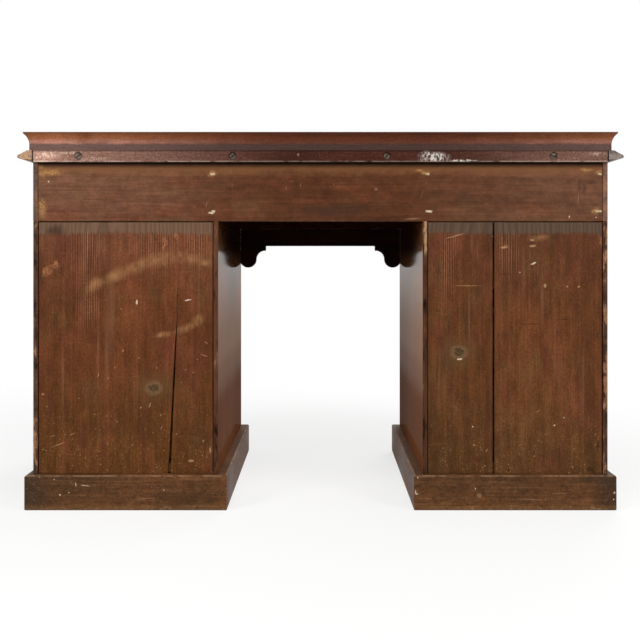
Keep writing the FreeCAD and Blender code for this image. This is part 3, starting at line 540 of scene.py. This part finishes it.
def strip_wood(name):
    """The strip screwed under the top's back edge: rubbed, speckled, pale along its lower arris, with
    painted light towards its ends and painted shade on its top arris and round its screws.
    """
    net = Surface(name)
    ragged = net.shaken(0.007, per_metre=180.0, seed=31)
    drift = net.noise((6, 20, 20), detail=4, seed=32)
    net.colour = net.mix(net.step(drift, 0.35, 0.65), (0.046, 0.014, 0.008), (0.072, 0.022, 0.013))
    # Paler towards both ends, most at +x: partly rubbed wear, partly a painted pool of lamp light
    handled_and_lit = net.most(net.step(net.x, 0.04, 0.56), net.step(net.x, -0.24, -0.54, 0.0, 0.6))
    net.cover((0.285, 0.15, 0.108), handled_and_lit, 0.95)
    fibre = net.noise((30, 600, 600), detail=3, rough=0.6, seed=33)
    net.vary(fibre, 0.25, 0.75, 0.78, 1.22)
    # Worn through in a crossed pattern of small specks
    rising = net.add("Mapping", Vector=net.place, Rotation=(0, math.radians(40), 0)).outputs[0]
    falling = net.add("Mapping", Vector=net.place, Rotation=(0, math.radians(-40), 0)).outputs[0]
    one_way = net.noise((150, 150, 420), detail=3, rough=0.65, place=rising, seed=34)
    other_way = net.noise((150, 150, 420), detail=3, rough=0.65, place=falling, seed=37)
    hatch = net.most(one_way, other_way)
    net.vary(hatch, 0.42, 0.7, 0.62, 1.25)
    net.cover((0.52, 0.36, 0.27), net.step(hatch, 0.62, 0.74), net.madd(handled_and_lit, 0.55, 0.1))
    patchy = net.patch((230, 230, 150), 0.42, 0.6, rough=0.75, seed=35)
    net.cover((0.58, 0.43, 0.34), net.marks(STRIP_PALE, ragged, 0.8), patchy, 0.6)
    net.cover((0.66, 0.6, 0.54), net.marks(STRIP_RUBBED, ragged, 0.7), patchy, 0.95)
    rounded = net.soft_edge(0.0024)[0]
    arris = net.step(net.z, *STRIP_LOW_ARRIS)
    broken = net.patch((60, 110, 110), 0.38, 0.54, seed=36)
    net.cover((0.56, 0.42, 0.33), arris, broken, net.madd(handled_and_lit, 0.62, 0.36))
    # Painted shade: the top arris is darkened by half, to take back the lamp light it catches
    net.vary(net.z, *STRIP_HIGH_ARRIS, 1.0, 0.5)
    # The +x end is paler still: partly wear, partly painted lamp light
    net.vary(net.x, *STRIP_PALE_END, 1.0, 1.62)
    # Dark joint at both ends; the dark rings round the screws are painted shade in the recess round each
    # head
    joint = net.step(net.size(net.x), *STRIP_JOINT)
    rings = net.times(net.marks(STRIP_SCREWS, ragged, 0.45), 0.85)
    net.cover((0.014, 0.007, 0.005), net.most(joint, rings))
    rough = net.step(drift, 0.3, 0.7, 0.44, 0.58)
    return net.finished(rough, net.total(fibre, hatch), 0.0003, rounded, gloss=0.08)


def per_metre(axis, along, across):
    """Lumps per metre with the grain along one axis."""
    return tuple(along if name == axis else across for name in "xyz")


def mahogany(name, axis, polish, wear=0.55, coat=0.2, gloss=0.1, coat_rough=0.16, extra=None):
    """Polished mahogany: ribbon figure, short dark pores, worn arrises."""
    net = Surface(name, moved=True)
    ribbon = net.noise(per_metre(axis, 1.6, 34), detail=4, rough=0.55, warp=0.6)
    flame = net.noise(per_metre(axis, 5.5, 12), detail=3, rough=0.6, warp=1.2, seed=3)
    fibre = net.noise(per_metre(axis, 18, 800), seed=5)
    pore = net.patch(per_metre(axis, 70, 1500), 0.62, 0.72, detail=1, rough=0.5, seed=7)
    net.colour = net.mix(net.step(ribbon, 0.3, 0.7), RED_DEEP, RED_BRIGHT)
    net.cover(scaled(RED_BRIGHT, 1.35), net.step(flame, 0.48, 0.75, 0.0, 0.5))
    net.vary(fibre, 0.25, 0.75, 0.86, 1.12)
    net.cover(scaled(RED_DEEP, 0.3), pore, 0.55)
    rough = net.patch(9, 0.35, 0.7, polish, polish + 0.08, detail=4, rough=0.5, seed=9)
    if extra is not None:
        rough, coat = extra(net, rough, coat)
    rounded, arris = net.soft_edge(0.0016)
    worn = net.times(arris, net.patch(55, 0.47, 0.63, rough=0.65, seed=11), wear)
    net.cover((0.34, 0.16, 0.075), worn)
    rough = net.madd(worn, 0.25, rough)
    height = net.madd(pore, -1.0, fibre)
    return net.finished(rough, height, 0.00008, rounded, coat, gloss, Coat_Roughness=coat_rough)


def outer_back_edge(net, rough, coat):
    """A pedestal's outer side: its narrow back edge is dark and knocked, with bare patches."""
    edge = net.step(net.facing_y, *SQUARE_ON)
    knocks = net.noise((70, 70, 22), detail=5, rough=0.72, seed=13)
    bared = net.madd(net.noise((6, 6, 7), seed=17), 0.6, net.times(knocks, 0.7))
    dark = net.mix(net.step(knocks, 0.36, 0.56), (0.012, 0.006, 0.004), (0.08, 0.04, 0.024))
    dark = net.mix(net.step(bared, 0.66, 0.74, 0.0, 0.9), dark, (0.33, 0.175, 0.09))
    dark = net.mix(net.step(bared, 0.76, 0.82, 0.0, 0.8), dark, (0.46, 0.2, 0.07))
    net.cover(dark, edge)
    return net.unpolished(rough, coat, edge, 0.6)


def frieze_end(net, rough, coat):
    """The frieze's ends: their back edge is stained and rubbed like the board beside it."""
    edge = net.step(net.facing_y, *SQUARE_ON)
    rub = net.noise((40, 40, 22), detail=5, rough=0.7, seed=13)
    worn = net.mix(net.step(rub, 0.36, 0.6), (0.075, 0.045, 0.034), (0.165, 0.085, 0.055))
    worn = net.mix(net.step(rub, 0.6, 0.7, 0.0, 0.7), worn, (0.35, 0.17, 0.075))
    worn = net.dim(worn, net.patch(240, 0.3, 0.7, 0.7, 1.3, detail=4, place=net.true_place))
    worn = net.dim(worn, net.step(net.x, 0.0, -0.01, 1.0, 1.36))
    net.cover(worn, edge)
    return net.unpolished(rough, coat, edge, 0.6)


def inner_side(net, rough, coat):
    """A kneehole side: polished above, kicked dull below, with a bare strip on one back edge."""
    edge = net.step(net.facing_y, *SQUARE_ON)
    broad = net.step(net.size(net.facing_x), *SQUARE_ON, 0.0, 0.72)
    # The broad faces are lighter above than below: partly the wood's own tone, partly a painted reflection
    faded = net.mix(net.step(net.z, 0.2, 0.34), (0.21, 0.08, 0.031), (0.365, 0.158, 0.057))
    faded = net.dim(faded, net.step(net.x, 0.0, -0.01, 1.0, 1.12))
    net.cover(faded, broad)
    # Painted shade under the frieze, darkest towards the front
    below_shade = net.step(net.z, 0.545, 0.455)
    painted_shade = net.step(net.y, 0.27, 0.02, 0.5, 0.14)
    clear = net.most(below_shade, net.calc("LESS_THAN", broad, 0.4))
    net.shade(net.most(clear, painted_shade))
    knocks = net.noise((60, 60, 16), detail=5, rough=0.7, seed=13)
    dark = net.mix(net.step(knocks, 0.34, 0.54), (0.022, 0.01, 0.007), (0.108, 0.046, 0.026))
    dark = net.mix(net.step(knocks, 0.6, 0.68, 0.0, 0.6), dark, (0.33, 0.165, 0.08))
    # Dirtier at -x, most along the joint with the back boards
    joint = net.step(net.x, -0.2234, -0.2246, 0.8, 0.25)
    dark = net.dim(dark, net.most(joint, net.step(net.x, 0.0, 0.01)))
    # A torn strip at -x is bare
    true = net.true_place
    torn = net.noise((300, 300, 140), detail=4, rough=0.65, seed=19, place=true)
    torn = net.madd(torn, 0.016, net.size(net.x))
    bare = net.patch((200, 200, 130), 0.36, 0.52, 0.2, 0.9, rough=0.75, seed=18, place=true)
    bare = net.times(bare, net.step(torn, 0.216, 0.218), net.step(torn, 0.2245, 0.222))
    bare = net.times(bare, net.step(net.x, 0.0, -0.01), net.step(net.z, 0.506, 0.522))
    dark = net.mix(bare, dark, (0.42, 0.245, 0.13))
    net.cover(dark, edge)
    scuffed = net.madd(net.noise((14, 14, 5), detail=4, seed=15), 0.02, net.z)
    shine = net.total(*[net.step(scuffed, *ramp) for ramp in KNEEHOLE_SHINE])
    return net.unpolished(rough, net.times(shine, coat), edge, 0.6)


def apron_back(net, rough, coat):
    """The apron's back is left unpolished and is painted nearly black: painted shade deep in the kneehole.
    """
    hidden = net.step(net.facing_y, *TURNED)
    streak = net.patch((8, 40, 40), 0.3, 0.7, 0.6, 1.3, detail=3, rough=0.5)
    # Painted shade: the back face nearly black
    net.cover(net.dim((0.0165, 0.0031, 0.0019), streak), hidden)
    return net.unpolished(rough, coat, hidden, 0.8)


def plain_back(tone, share, least):
    """For boards that are polished to the front only: how their backs are toned and how rough they are."""
    def extra(net, rough, coat):
        hidden = net.step(net.facing_y, *TURNED)
        net.cover(tone, hidden, share)
        return net.unpolished(rough, coat, hidden, least)
    return extra


def plinth_wood(name, seed):
    """Plinth boards: kicked and scuffed, mitred, so the grain turns with each board."""
    net = Surface(name, seed)
    ragged = net.shaken(0.004)
    drift = net.noise((6, 6, 14), detail=4, rough=0.6, seed=1)
    level = net.noise((5, 5, 190), detail=4, rough=0.62, seed=2)
    fibre = net.noise((40, 40, 900), seed=3)
    net.colour = net.mix(net.step(drift, 0.35, 0.65), (0.078, 0.034, 0.0125), (0.12, 0.047, 0.0165))
    net.cover((0.178, 0.078, 0.03), net.step(level, 0.48, 0.7, 0.0, 0.65))
    # Dirty towards the outer ends
    mottle = net.noise((48, 48, 60), detail=5, rough=0.7, seed=8)
    ends = net.step(net.madd(mottle, 0.06, net.size(net.x)), *PLINTH_ENDS)
    net.cover((0.044, 0.024, 0.012), ends, 0.8)
    net.vary(fibre, 0.25, 0.75, 0.84, 1.16)
    grit = net.noise((240, 240, 300), detail=4, rough=0.72, seed=7)
    net.vary(grit, 0.3, 0.7, 0.72, 1.28)
    net.vary(mottle, 0.32, 0.68, 0.76, 1.2)
    # The front and the outer ends are still red
    front = net.step(net.y, *PLINTH_FRONT)
    end = net.step(net.size(net.facing_x), *SQUARE_ON, 0.0, 0.55)
    outer = net.most(front, net.step(net.size(net.x), 0.56, 0.58))
    front = net.times(net.most(net.times(front, 0.7), end), outer)
    net.cover(net.dim((0.125, 0.036, 0.014), net.step(level, 0.3, 0.7, 0.6, 1.4)), front)
    # Rubbed to ochre low down, dirt in the hollows
    foot = net.step(net.madd(net.noise((28, 28, 60), detail=4, seed=4), 0.02, net.z), 0.026, 0.012)
    net.cover((0.205, 0.098, 0.036), foot, 0.5)
    grime = net.patch((90, 90, 120), 0.52, 0.66, seed=5)
    net.cover((0.036, 0.018, 0.009), grime, 0.6)
    # Pale chips along the bottom
    chips = net.patch((90, 90, 120), 0.56, 0.66, detail=4, seed=9)
    net.cover((0.34, 0.2, 0.095), chips, net.step(net.z, 0.014, 0.004, 0.0, 0.6))
    net.cover((0.34, 0.2, 0.095), net.marks(PLINTH_SCRATCHES, ragged, 0.6), 0.5)
    spots = net.flecks(ragged, (80, 80, 80), 0.14, 0.1)
    spots = net.most(spots, net.times(net.patch(330, 0.6, 0.7, detail=3, seed=10), ends))
    net.cover((0.38, 0.235, 0.12), spots, 0.5)
    bare = net.times(net.marks(PLINTH_DENTS, ragged, 0.5), net.step(net.y, 0.28, 0.3))
    net.cover(BARE_PALE, bare, 0.85)
    rounded, arris = net.soft_edge(0.0022)
    patchy = net.patch(50, 0.4, 0.58, rough=0.65, seed=6)
    rim = net.times(net.step(net.z, *PLINTH_RIM), net.step(net.facing_z, 0.97, 0.85))
    net.cover((0.34, 0.215, 0.125), net.most(arris, rim), patchy, 0.6)
    rough = net.step(drift, 0.3, 0.7, 0.46, 0.62)
    return net.finished(rough, net.madd(grime, -0.8, fibre), 0.0003, rounded, gloss=0.12)


def top_moulding(name):
    """The top's border and hollow moulding: polished above, worn at the back, with a painted highlight
    across the hollow and a dark slate band low in it.
    """
    net = Surface(name)
    # Four boards, mitred at the corners, each with its grain along its own length
    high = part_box("top_edge_frame")[1]
    across = net.less(high.x, net.size(net.x))
    down = net.less(high.y, net.size(net.y))
    at_end = net.calc("LESS_THAN", across, down)
    mitre = net.step(net.size(net.less(across, down)), *MITRE)
    turned = net.add("CombineXYZ", X=net.y, Y=net.x, Z=net.z).outputs[0]
    turned = net.vector("ADD", turned, (4.1, 2.7, 0.0))
    net.place = net.mix(at_end, net.place, turned)
    ribbon = net.noise((2.4, 46, 60), detail=4, rough=0.6, warp=0.5)
    fibre = net.noise((24, 700, 700), seed=2)
    grit = net.noise((240, 240, 300), detail=4, rough=0.7, seed=12)
    net.colour = net.mix(net.step(ribbon, 0.3, 0.7), (0.088, 0.0225, 0.0092), (0.15, 0.039, 0.0165))
    redder = net.patch((14, 14, 60), 0.5, 0.75, detail=3, rough=0.5, seed=4)
    net.cover((0.15, 0.036, 0.0135), redder, 0.5)
    # The hollow at the back is lighter towards both ends, most at +x: partly handling wear, partly a
    # painted pool of lamp light
    hollow = net.inverse(net.step(net.facing_z, 0.7, 0.95))
    back = net.times(net.step(net.y, 0.24, 0.27), hollow)
    true = net.true_place
    ragged = net.madd(net.noise(30, detail=4, rough=0.6, seed=6, place=true), 0.006, net.z)
    ends = net.most(net.step(net.x, 0.06, 0.58), net.step(net.x, -0.2, -0.6, 0.0, 0.55))
    handled_and_lit = net.times(ends, back)
    thin = net.patch(16, 0.25, 0.6, 0.35, 1.0, detail=4, rough=0.6, seed=13, place=true)
    thin = net.times(handled_and_lit, thin)
    upper = net.mix(thin, net.colour, (0.43, 0.158, 0.064))
    highlight_band = net.mix(thin, (0.115, 0.035, 0.0185), (0.48, 0.215, 0.15))
    slate = net.mix(handled_and_lit, (0.052, 0.03, 0.024), (0.108, 0.069, 0.058))
    # A painted highlight runs across the middle of the hollow
    net.colour = net.mix(net.times(net.step(ragged, *HOLLOW_HIGHLIGHT), hollow), upper, highlight_band)
    # A dark slate band low in the hollow, rougher there
    dust = net.times(net.step(ragged, *HOLLOW_SLATE), hollow)
    net.cover(slate, dust, 0.92)
    net.cover((0.04, 0.018, 0.012), net.step(net.z, *TOP_LIP), hollow, 0.7)
    net.vary(fibre, 0.25, 0.75, 0.86, 1.14)
    net.vary(grit, 0.3, 0.7, 0.8, 1.2)
    pore = net.patch((80, 1300, 1300), 0.62, 0.72, detail=1, rough=0.5, seed=14)
    net.cover((0.02, 0.006, 0.003), pore, 0.45)
    net.cover((0.016, 0.006, 0.003), mitre, 0.8)
    rough = net.patch(9, 0.35, 0.7, 0.32, 0.42, detail=4, rough=0.5, seed=8)
    rough = net.madd(dust, 0.2, rough)
    rounded, arris = net.soft_edge(0.0012)
    patchy = net.patch(40, 0.5, 0.66, rough=0.65, seed=10)
    net.cover((0.33, 0.17, 0.1), arris, patchy, net.step(net.z, 0.75, 0.735, 0.1, 0.4))
    coat = net.madd(back, -0.18, 0.2)
    return net.finished(rough, fibre, 0.0001, rounded, coat, gloss=0.08, Coat_Roughness=0.2)


def beak_wood(net, rough, coat):
    """The moulding's cut ends at the back show pale end grain."""
    end = net.step(net.facing_y, 0.7, 0.95)
    grain = net.patch(300, 0.3, 0.7, 0.5, 1.3, detail=3, rough=0.5)
    pale = net.dim(net.mix(net.step(net.x, -0.2, 0.2), (0.265, 0.215, 0.19), (0.44, 0.27, 0.17)), grain)
    # Dirty below, and at -x above the nose too
    pale = net.dim(pale, net.step(net.z, 0.705, 0.701, 1.0, 0.45))
    above = net.step(net.z, 0.711, 0.717, 1.0, 0.55)
    pale = net.dim(pale, net.most(above, net.step(net.x, -0.2, 0.2)))
    net.cover(pale, end)
    return net.unpolished(rough, coat, end, 0.8)


def plain_wood(name, axis, deep, bright, spacing, rough_low, dust=0.3, gloss=0.12, extra=None):
    """Unpolished drawer and carcass wood: growth lines, fibre, a little dust and handling."""
    net = Surface(name, moved=True)
    parts = net.add("SeparateXYZ", Vector=net.place).outputs
    first = "xyz".index(axis)
    across = net.total(parts[(first + 1) % 3], net.times(parts[(first + 2) % 3], 0.8))
    lines = net.rings(parts[first], across, spacing, 0.02, 0.06, 0.05, 0.05, 2.0)
    drift = net.noise(per_metre(axis, 2.0, 9), detail=4)
    fibre = net.noise(per_metre(axis, 22, 800), detail=3, rough=0.6, seed=3)
    net.colour = net.mix(net.step(drift, 0.3, 0.7), deep, bright)
    net.shade(net.madd(lines, -0.28, 1.06))
    net.vary(fibre, 0.25, 0.75, 0.82, 1.15)
    net.cover(scaled(deep, 0.42), net.patch(24, 0.52, 0.74, seed=5), dust)
    rounded, arris = net.soft_edge(0.0012)
    net.cover(scaled(deep, 0.6), arris, 0.3)
    rough = net.step(drift, 0.3, 0.7, rough_low, rough_low + 0.15)
    if extra is not None:
        rough = extra(net, rough)
    return net.finished(rough, net.madd(lines, -0.5, fibre), 0.00025, rounded, gloss=gloss)


def faced_front(net, rough):
    """A strip of mahogany is glued along the front edge of the case boards."""
    front = net.times(net.step(net.facing_y, -0.6, -0.9), net.step(net.y, *CASE_FRONT))
    ribbon = net.noise((1.6, 34, 34), detail=4, rough=0.55, warp=0.6)
    net.cover(net.mix(net.step(ribbon, 0.3, 0.7), RED_DEEP, RED_BRIGHT), front)
    return net.madd(front, -0.3, rough)


def shade_painted_underside(net, rough):
    """Seen from below, over the kneehole, the board's underside is painted nearly black: painted shade."""
    below = net.step(net.facing_z, -0.6, -0.9)
    streak = net.patch((40, 6, 40), 0.3, 0.7, 0.6, 1.4, detail=4, rough=0.5)
    # Painted shade on the face that looks down
    net.cover(net.dim((0.02, 0.007, 0.004), streak), below)
    return rough


def leather(name):
    """Dark green hide, rubbed where arms rest, with a tooled gilt border of plain lines and lozenges."""
    net = Surface(name)
    low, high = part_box("writing_leather")
    middle_y = (low.y + high.y) / 2
    across = net.less((high.x - low.x) / 2, net.size(net.x))
    down = net.less((high.y - low.y) / 2, net.size(net.less(net.y, middle_y)))
    inset = net.calc("MINIMUM", across, down)
    at_end = net.calc("LESS_THAN", across, down)
    run = net.total(net.times(net.y, at_end), net.times(net.x, net.inverse(at_end)))

    drift = net.noise(5, detail=4, rough=0.6, seed=41)
    net.colour = net.mix(net.step(drift, 0.3, 0.7), (0.013, 0.034, 0.018), (0.024, 0.055, 0.029))
    from_seat = net.vector("SUBTRACT", net.place, (0.0, -0.16, 0.76))
    seat = net.vector("LENGTH", net.vector("MULTIPLY", from_seat, (2.2, 5.0, 0.0)))
    net.cover((0.06, 0.082, 0.04), net.step(seat, 1.1, 0.2), net.patch(40, 0.42, 0.68, seed=42), 0.45)
    net.cover((0.085, 0.085, 0.045), net.patch((9, 160, 160), 0.66, 0.76, detail=4, seed=43), 0.22)

    pebbles = net.add("TexVoronoi", {"feature": "DISTANCE_TO_EDGE"}, Vector=net.place, Scale=620.0)
    crease = net.step(pebbles.outputs[0], 0.0, 0.12)
    net.shade(net.madd(crease, 0.3, 0.76))

    lines = [net.step(net.size(net.less(inset, at)), half, half * 0.55) for at, half in GILT_LINES]
    turn = net.size(net.less(net.calc("FRACT", net.calc("DIVIDE", run, LOZENGE_LENGTH)), 0.5))
    lozenge = net.total(net.times(turn, LOZENGE_LENGTH), net.size(net.less(inset, LOZENGE_INSET)))
    diamond = net.times(net.step(lozenge, 0.0048, 0.0043), net.step(lozenge, 0.0026, 0.0031))
    dot = net.step(lozenge, 0.0013, 0.0009)
    kept = net.patch(60, 0.38, 0.56, 0.25, 1.0, seed=44)
    gilt = net.times(net.most(*lines, diamond, dot), kept)
    net.cover((0.42, 0.275, 0.085), gilt)
    rough = net.step(drift, 0.3, 0.7, 0.46, 0.58)
    rough = net.madd(gilt, -0.12, rough)
    return net.finished(rough, net.madd(gilt, -1.6, crease), 0.00018, gloss=0.22)


def metal(name, clean, dull, rough_low, rough_high, spots, rust=None, shade_below=None):
    """Old metal: clean on high spots, dulled in patches, fine brushed scratches, painted black below a
    given y as shade in a recess.
    """
    net = Surface(name, moved=True)
    patch = net.patch(spots, 0.38, 0.64, rough=0.65)
    net.colour = net.mix(patch, clean, dull)
    if rust is not None:
        net.cover(rust, net.patch(spots * 1.8, 0.5, 0.66, seed=4), 0.8)
    scratch = net.noise((1800, 1800, 120), seed=6)
    rough = net.madd(patch, rough_high - rough_low, rough_low)
    rounded, arris = net.soft_edge(0.0006)
    net.cover(scaled(clean, 1.25), arris, 0.5)
    if shade_below is not None:
        # Painted shade: black in the slots below the given y
        net.cover((0.01, 0.007, 0.005), net.step(net.y, shade_below, shade_below - 0.0003))
    return net.finished(rough, scratch, 0.00004, rounded, Metallic=1.0)


def stopped_nail(name):
    """Nail heads stopped with pale filler that has cracked and stained."""
    net = Surface(name, moved=True)
    stain = net.patch(420, 0.42, 0.66, detail=4, rough=0.65)
    net.colour = net.mix(stain, (0.6, 0.48, 0.33), (0.36, 0.23, 0.12))
    net.cover((0.26, 0.125, 0.048), net.step(net.x, 0.45, 0.5, 0.0, 0.85))
    crack = net.patch(900, 0.6, 0.7, detail=3, rough=0.5, seed=2)
    net.cover((0.12, 0.06, 0.03), crack, 0.5)
    return net.finished(net.step(stain, 0.0, 1.0, 0.6, 0.75), crack, 0.0002, gloss=0.1)


PINE = plain_wood("carcass_pine_wood", "x", *PINE_TONES, 0.008, 0.62, 0.45, extra=faced_front)
OAK = plain_wood("drawer_oak_wood", "y", *OAK_TONES, 0.0035, 0.55)
BRASS = metal("aged_brass_metal", (0.60, 0.40, 0.15), (0.24, 0.155, 0.065), 0.26, 0.5, 220.0)

PALE_BACK = plain_back((0.2, 0.085, 0.036), 0.6, 0.6)
# Backs of the dividers and rails are painted nearly black: painted shade over the kneehole
SHADE_PAINTED_BACK = plain_back((0.012, 0.0045, 0.0028), 0.9, 0.8)

# Materials by the end of a node's name. The other nodes are pine.
LOOKS = {
    "right_pedestal_back_boards": back_boards("stained_boards_right", **RIGHT_BACK),
    "left_pedestal_back_boards": back_boards("stained_boards_left", **LEFT_BACK),
    "frieze_back_board": frieze_board("stained_frieze_board"),
    "rear_strip": strip_wood("rubbed_strip"),
    "_plinth": plinth_wood("scuffed_plinth", 61.0),
    "top_edge_frame": top_moulding("top_moulding_wood"),
    "beak_moulding": mahogany("beak_wood", "x", 0.30, extra=beak_wood),
    "_outer_side": mahogany("polished_upright_outer", "z", 0.26, extra=outer_back_edge),
    "frieze_ends": mahogany("polished_frieze_end", "y", 0.26, extra=frieze_end),
    "_inner_side": mahogany(
        "polished_upright_inner", "z", 0.30, coat=0.29, gloss=0.0, coat_rough=0.08, extra=inner_side,
    ),
    "frieze_dividers": mahogany("polished_divider", "z", 0.26, extra=SHADE_PAINTED_BACK),
    "kneehole_apron": mahogany("apron_wood", "x", 0.26, extra=apron_back),
    "_rails": mahogany("polished_level", "x", 0.24, extra=SHADE_PAINTED_BACK),
    "_drawer_front": mahogany("polished_drawer_front", "x", 0.24, extra=PALE_BACK),
    "_drawer_knobs": mahogany("turned_knob", "y", 0.20, wear=0.3),
    "frieze_bottom_board": plain_wood(
        "carcass_pine_ceiling", "x", *PINE_TONES, 0.008, 0.62, 0.45, gloss=0.0, extra=shade_painted_underside,
    ),
    "drawer_runners_and_kickers": plain_wood("carcass_pine_runners", "y", *PINE_TONES, 0.007, 0.62, 0.45),
    "_drawer_box": OAK,
    "drawer_stops": OAK,
    "locating_dowels": OAK,
    "writing_leather": leather("tooled_leather"),
    "centre_drawer_lock": BRASS,
    "centre_drawer_lock_bolt": BRASS,
    "rear_strip_screws": metal(
        "dull_steel", (0.15, 0.115, 0.092), (0.060, 0.044, 0.034), 0.4, 0.65, 260.0,
        (0.050, 0.024, 0.014), SLOT_FLOOR,
    ),
    "frieze_nails": stopped_nail("stopped_nail_heads"),
}

SAME_POINT = 0.00002
FLAT_ANGLE = math.radians(0.5)
ARRIS_ANGLE = math.radians(40)

# Nodes whose arrises are eased in the mesh itself, by width in mm
EASED = {
    "_drawer_front": 1.2, "_outer_side": 1.0, "_inner_side": 1.0, "_back_boards": 0.8,
    "frieze_back_board": 0.9, "frieze_ends": 1.0, "frieze_dividers": 0.8, "_rails": 0.8,
    "kneehole_apron": 1.2, "rear_strip": 0.9, "_top_board": 0.6, "_bottom_board": 0.6,
    "drawer_runners_and_kickers": 0.8, "drawer_stops": 0.8, "plinth_glue_blocks": 1.5,
    "centre_drawer_lock_bolt": 0.5,
}


def ease(piece, width):
    """Joins the mesh along its edges, eases the arrises and keeps flat faces flat."""
    weld = piece.modifiers.new("join_edges", "WELD")
    weld.merge_threshold = SAME_POINT
    flat = piece.modifiers.new("flat_faces", "DECIMATE")
    flat.decimate_type = "DISSOLVE"
    flat.angle_limit = FLAT_ANGLE
    bevel = piece.modifiers.new("eased_arris", "BEVEL")
    bevel.width = width * MM
    bevel.segments = 2
    bevel.limit_method = "ANGLE"
    bevel.angle_limit = ARRIS_ANGLE
    normals = piece.modifiers.new("flat_normals", "WEIGHTED_NORMAL")
    normals.weight = 100


for node, piece in nodes.items():
    found = [look for ending, look in LOOKS.items() if node.endswith(ending)]
    piece.data.materials.clear()
    piece.data.materials.append(found[0] if found else PINE)
    for ending, width in EASED.items():
        if node.endswith(ending):
            ease(piece, width)


def make_world():
    """White to look at, softer as a light."""
    world = bpy.data.worlds.new("studio")
    bpy.context.scene.world = world
    net = Net(world)
    strength = net.add("MapRange", Value=net.seen_rays(), To_Min=AMBIENT, To_Max=1.0)
    back = net.add("Background", Color=(1, 1, 1), Strength=strength.outputs[0])
    net.add("OutputWorld", Surface=back.outputs[0])


def make_floor():
    """A pale round floor that keeps the shadow near the desk and runs out into white."""
    net = Surface("pale_floor")
    seen = net.seen_rays()
    near = net.add("BsdfDiffuse", Color=net.mix(seen, FLOOR_BOUNCE, FLOOR_PALE))
    white = net.add("Emission", Color=(1, 1, 1), Strength=1.0)
    reach = net.vector("LENGTH", net.vector("MULTIPLY", net.place, (1.0, 1.0, 0.0)))
    # Inside the hollow plinths the floor gives off no white of its own
    side = net.size(net.x)
    spans = zip((side, side, net.size(net.y)), PLINTH_INSIDE)
    inside = net.times(*[net.step(place, *span) for place, span in spans])
    away = net.times(net.step(reach, *FLOOR_FADE, FLOOR_GLOW_SHARE, 1.0), seen, net.inverse(inside))
    blend = net.add("MixShader", None, (away, near.outputs[0], white.outputs[0]))
    net.add("OutputMaterial", Surface=blend.outputs[0])
    bpy.ops.mesh.primitive_circle_add(
        vertices=96, radius=FLOOR_RADIUS, fill_type="NGON", location=(0, 0, -FLOOR_DROP),
    )
    floor = bpy.context.object
    floor.name = "floor"
    floor.data.materials.append(net.owner)


def in_scene(data, place, turn):
    made = bpy.data.objects.new(data.name, data)
    made.location = place
    made.rotation_euler = turn
    bpy.context.scene.collection.objects.link(made)
    return made


def make_lamp(name, place, target, size, watts):
    data = bpy.data.lights.new(name, "AREA")
    data.shape = "DISK"
    data.size = size
    data.energy = watts
    turn = (Vector(target) - Vector(place)).to_track_quat("-Z", "Y").to_euler()
    # A large lamp would show as a white glare on the polished top
    in_scene(data, place, turn).visible_glossy = size < LARGEST_GLINT


def make_camera():
    data = bpy.data.cameras.new("camera")
    data.sensor_width = SENSOR_WIDTH
    data.lens = FOCAL_PIXELS / PICTURE_SIDE * SENSOR_WIDTH
    data.shift_x = SHIFT_PIXELS[0] / PICTURE_SIDE
    data.shift_y = SHIFT_PIXELS[1] / PICTURE_SIDE
    bpy.context.scene.camera = in_scene(data, CAMERA_PLACE, CAMERA_TURN)


make_world()
make_floor()
for name, settings in LAMPS.items():
    make_lamp(name, *settings)
make_camera()
bpy.context.scene.view_settings.view_transform = "Standard"
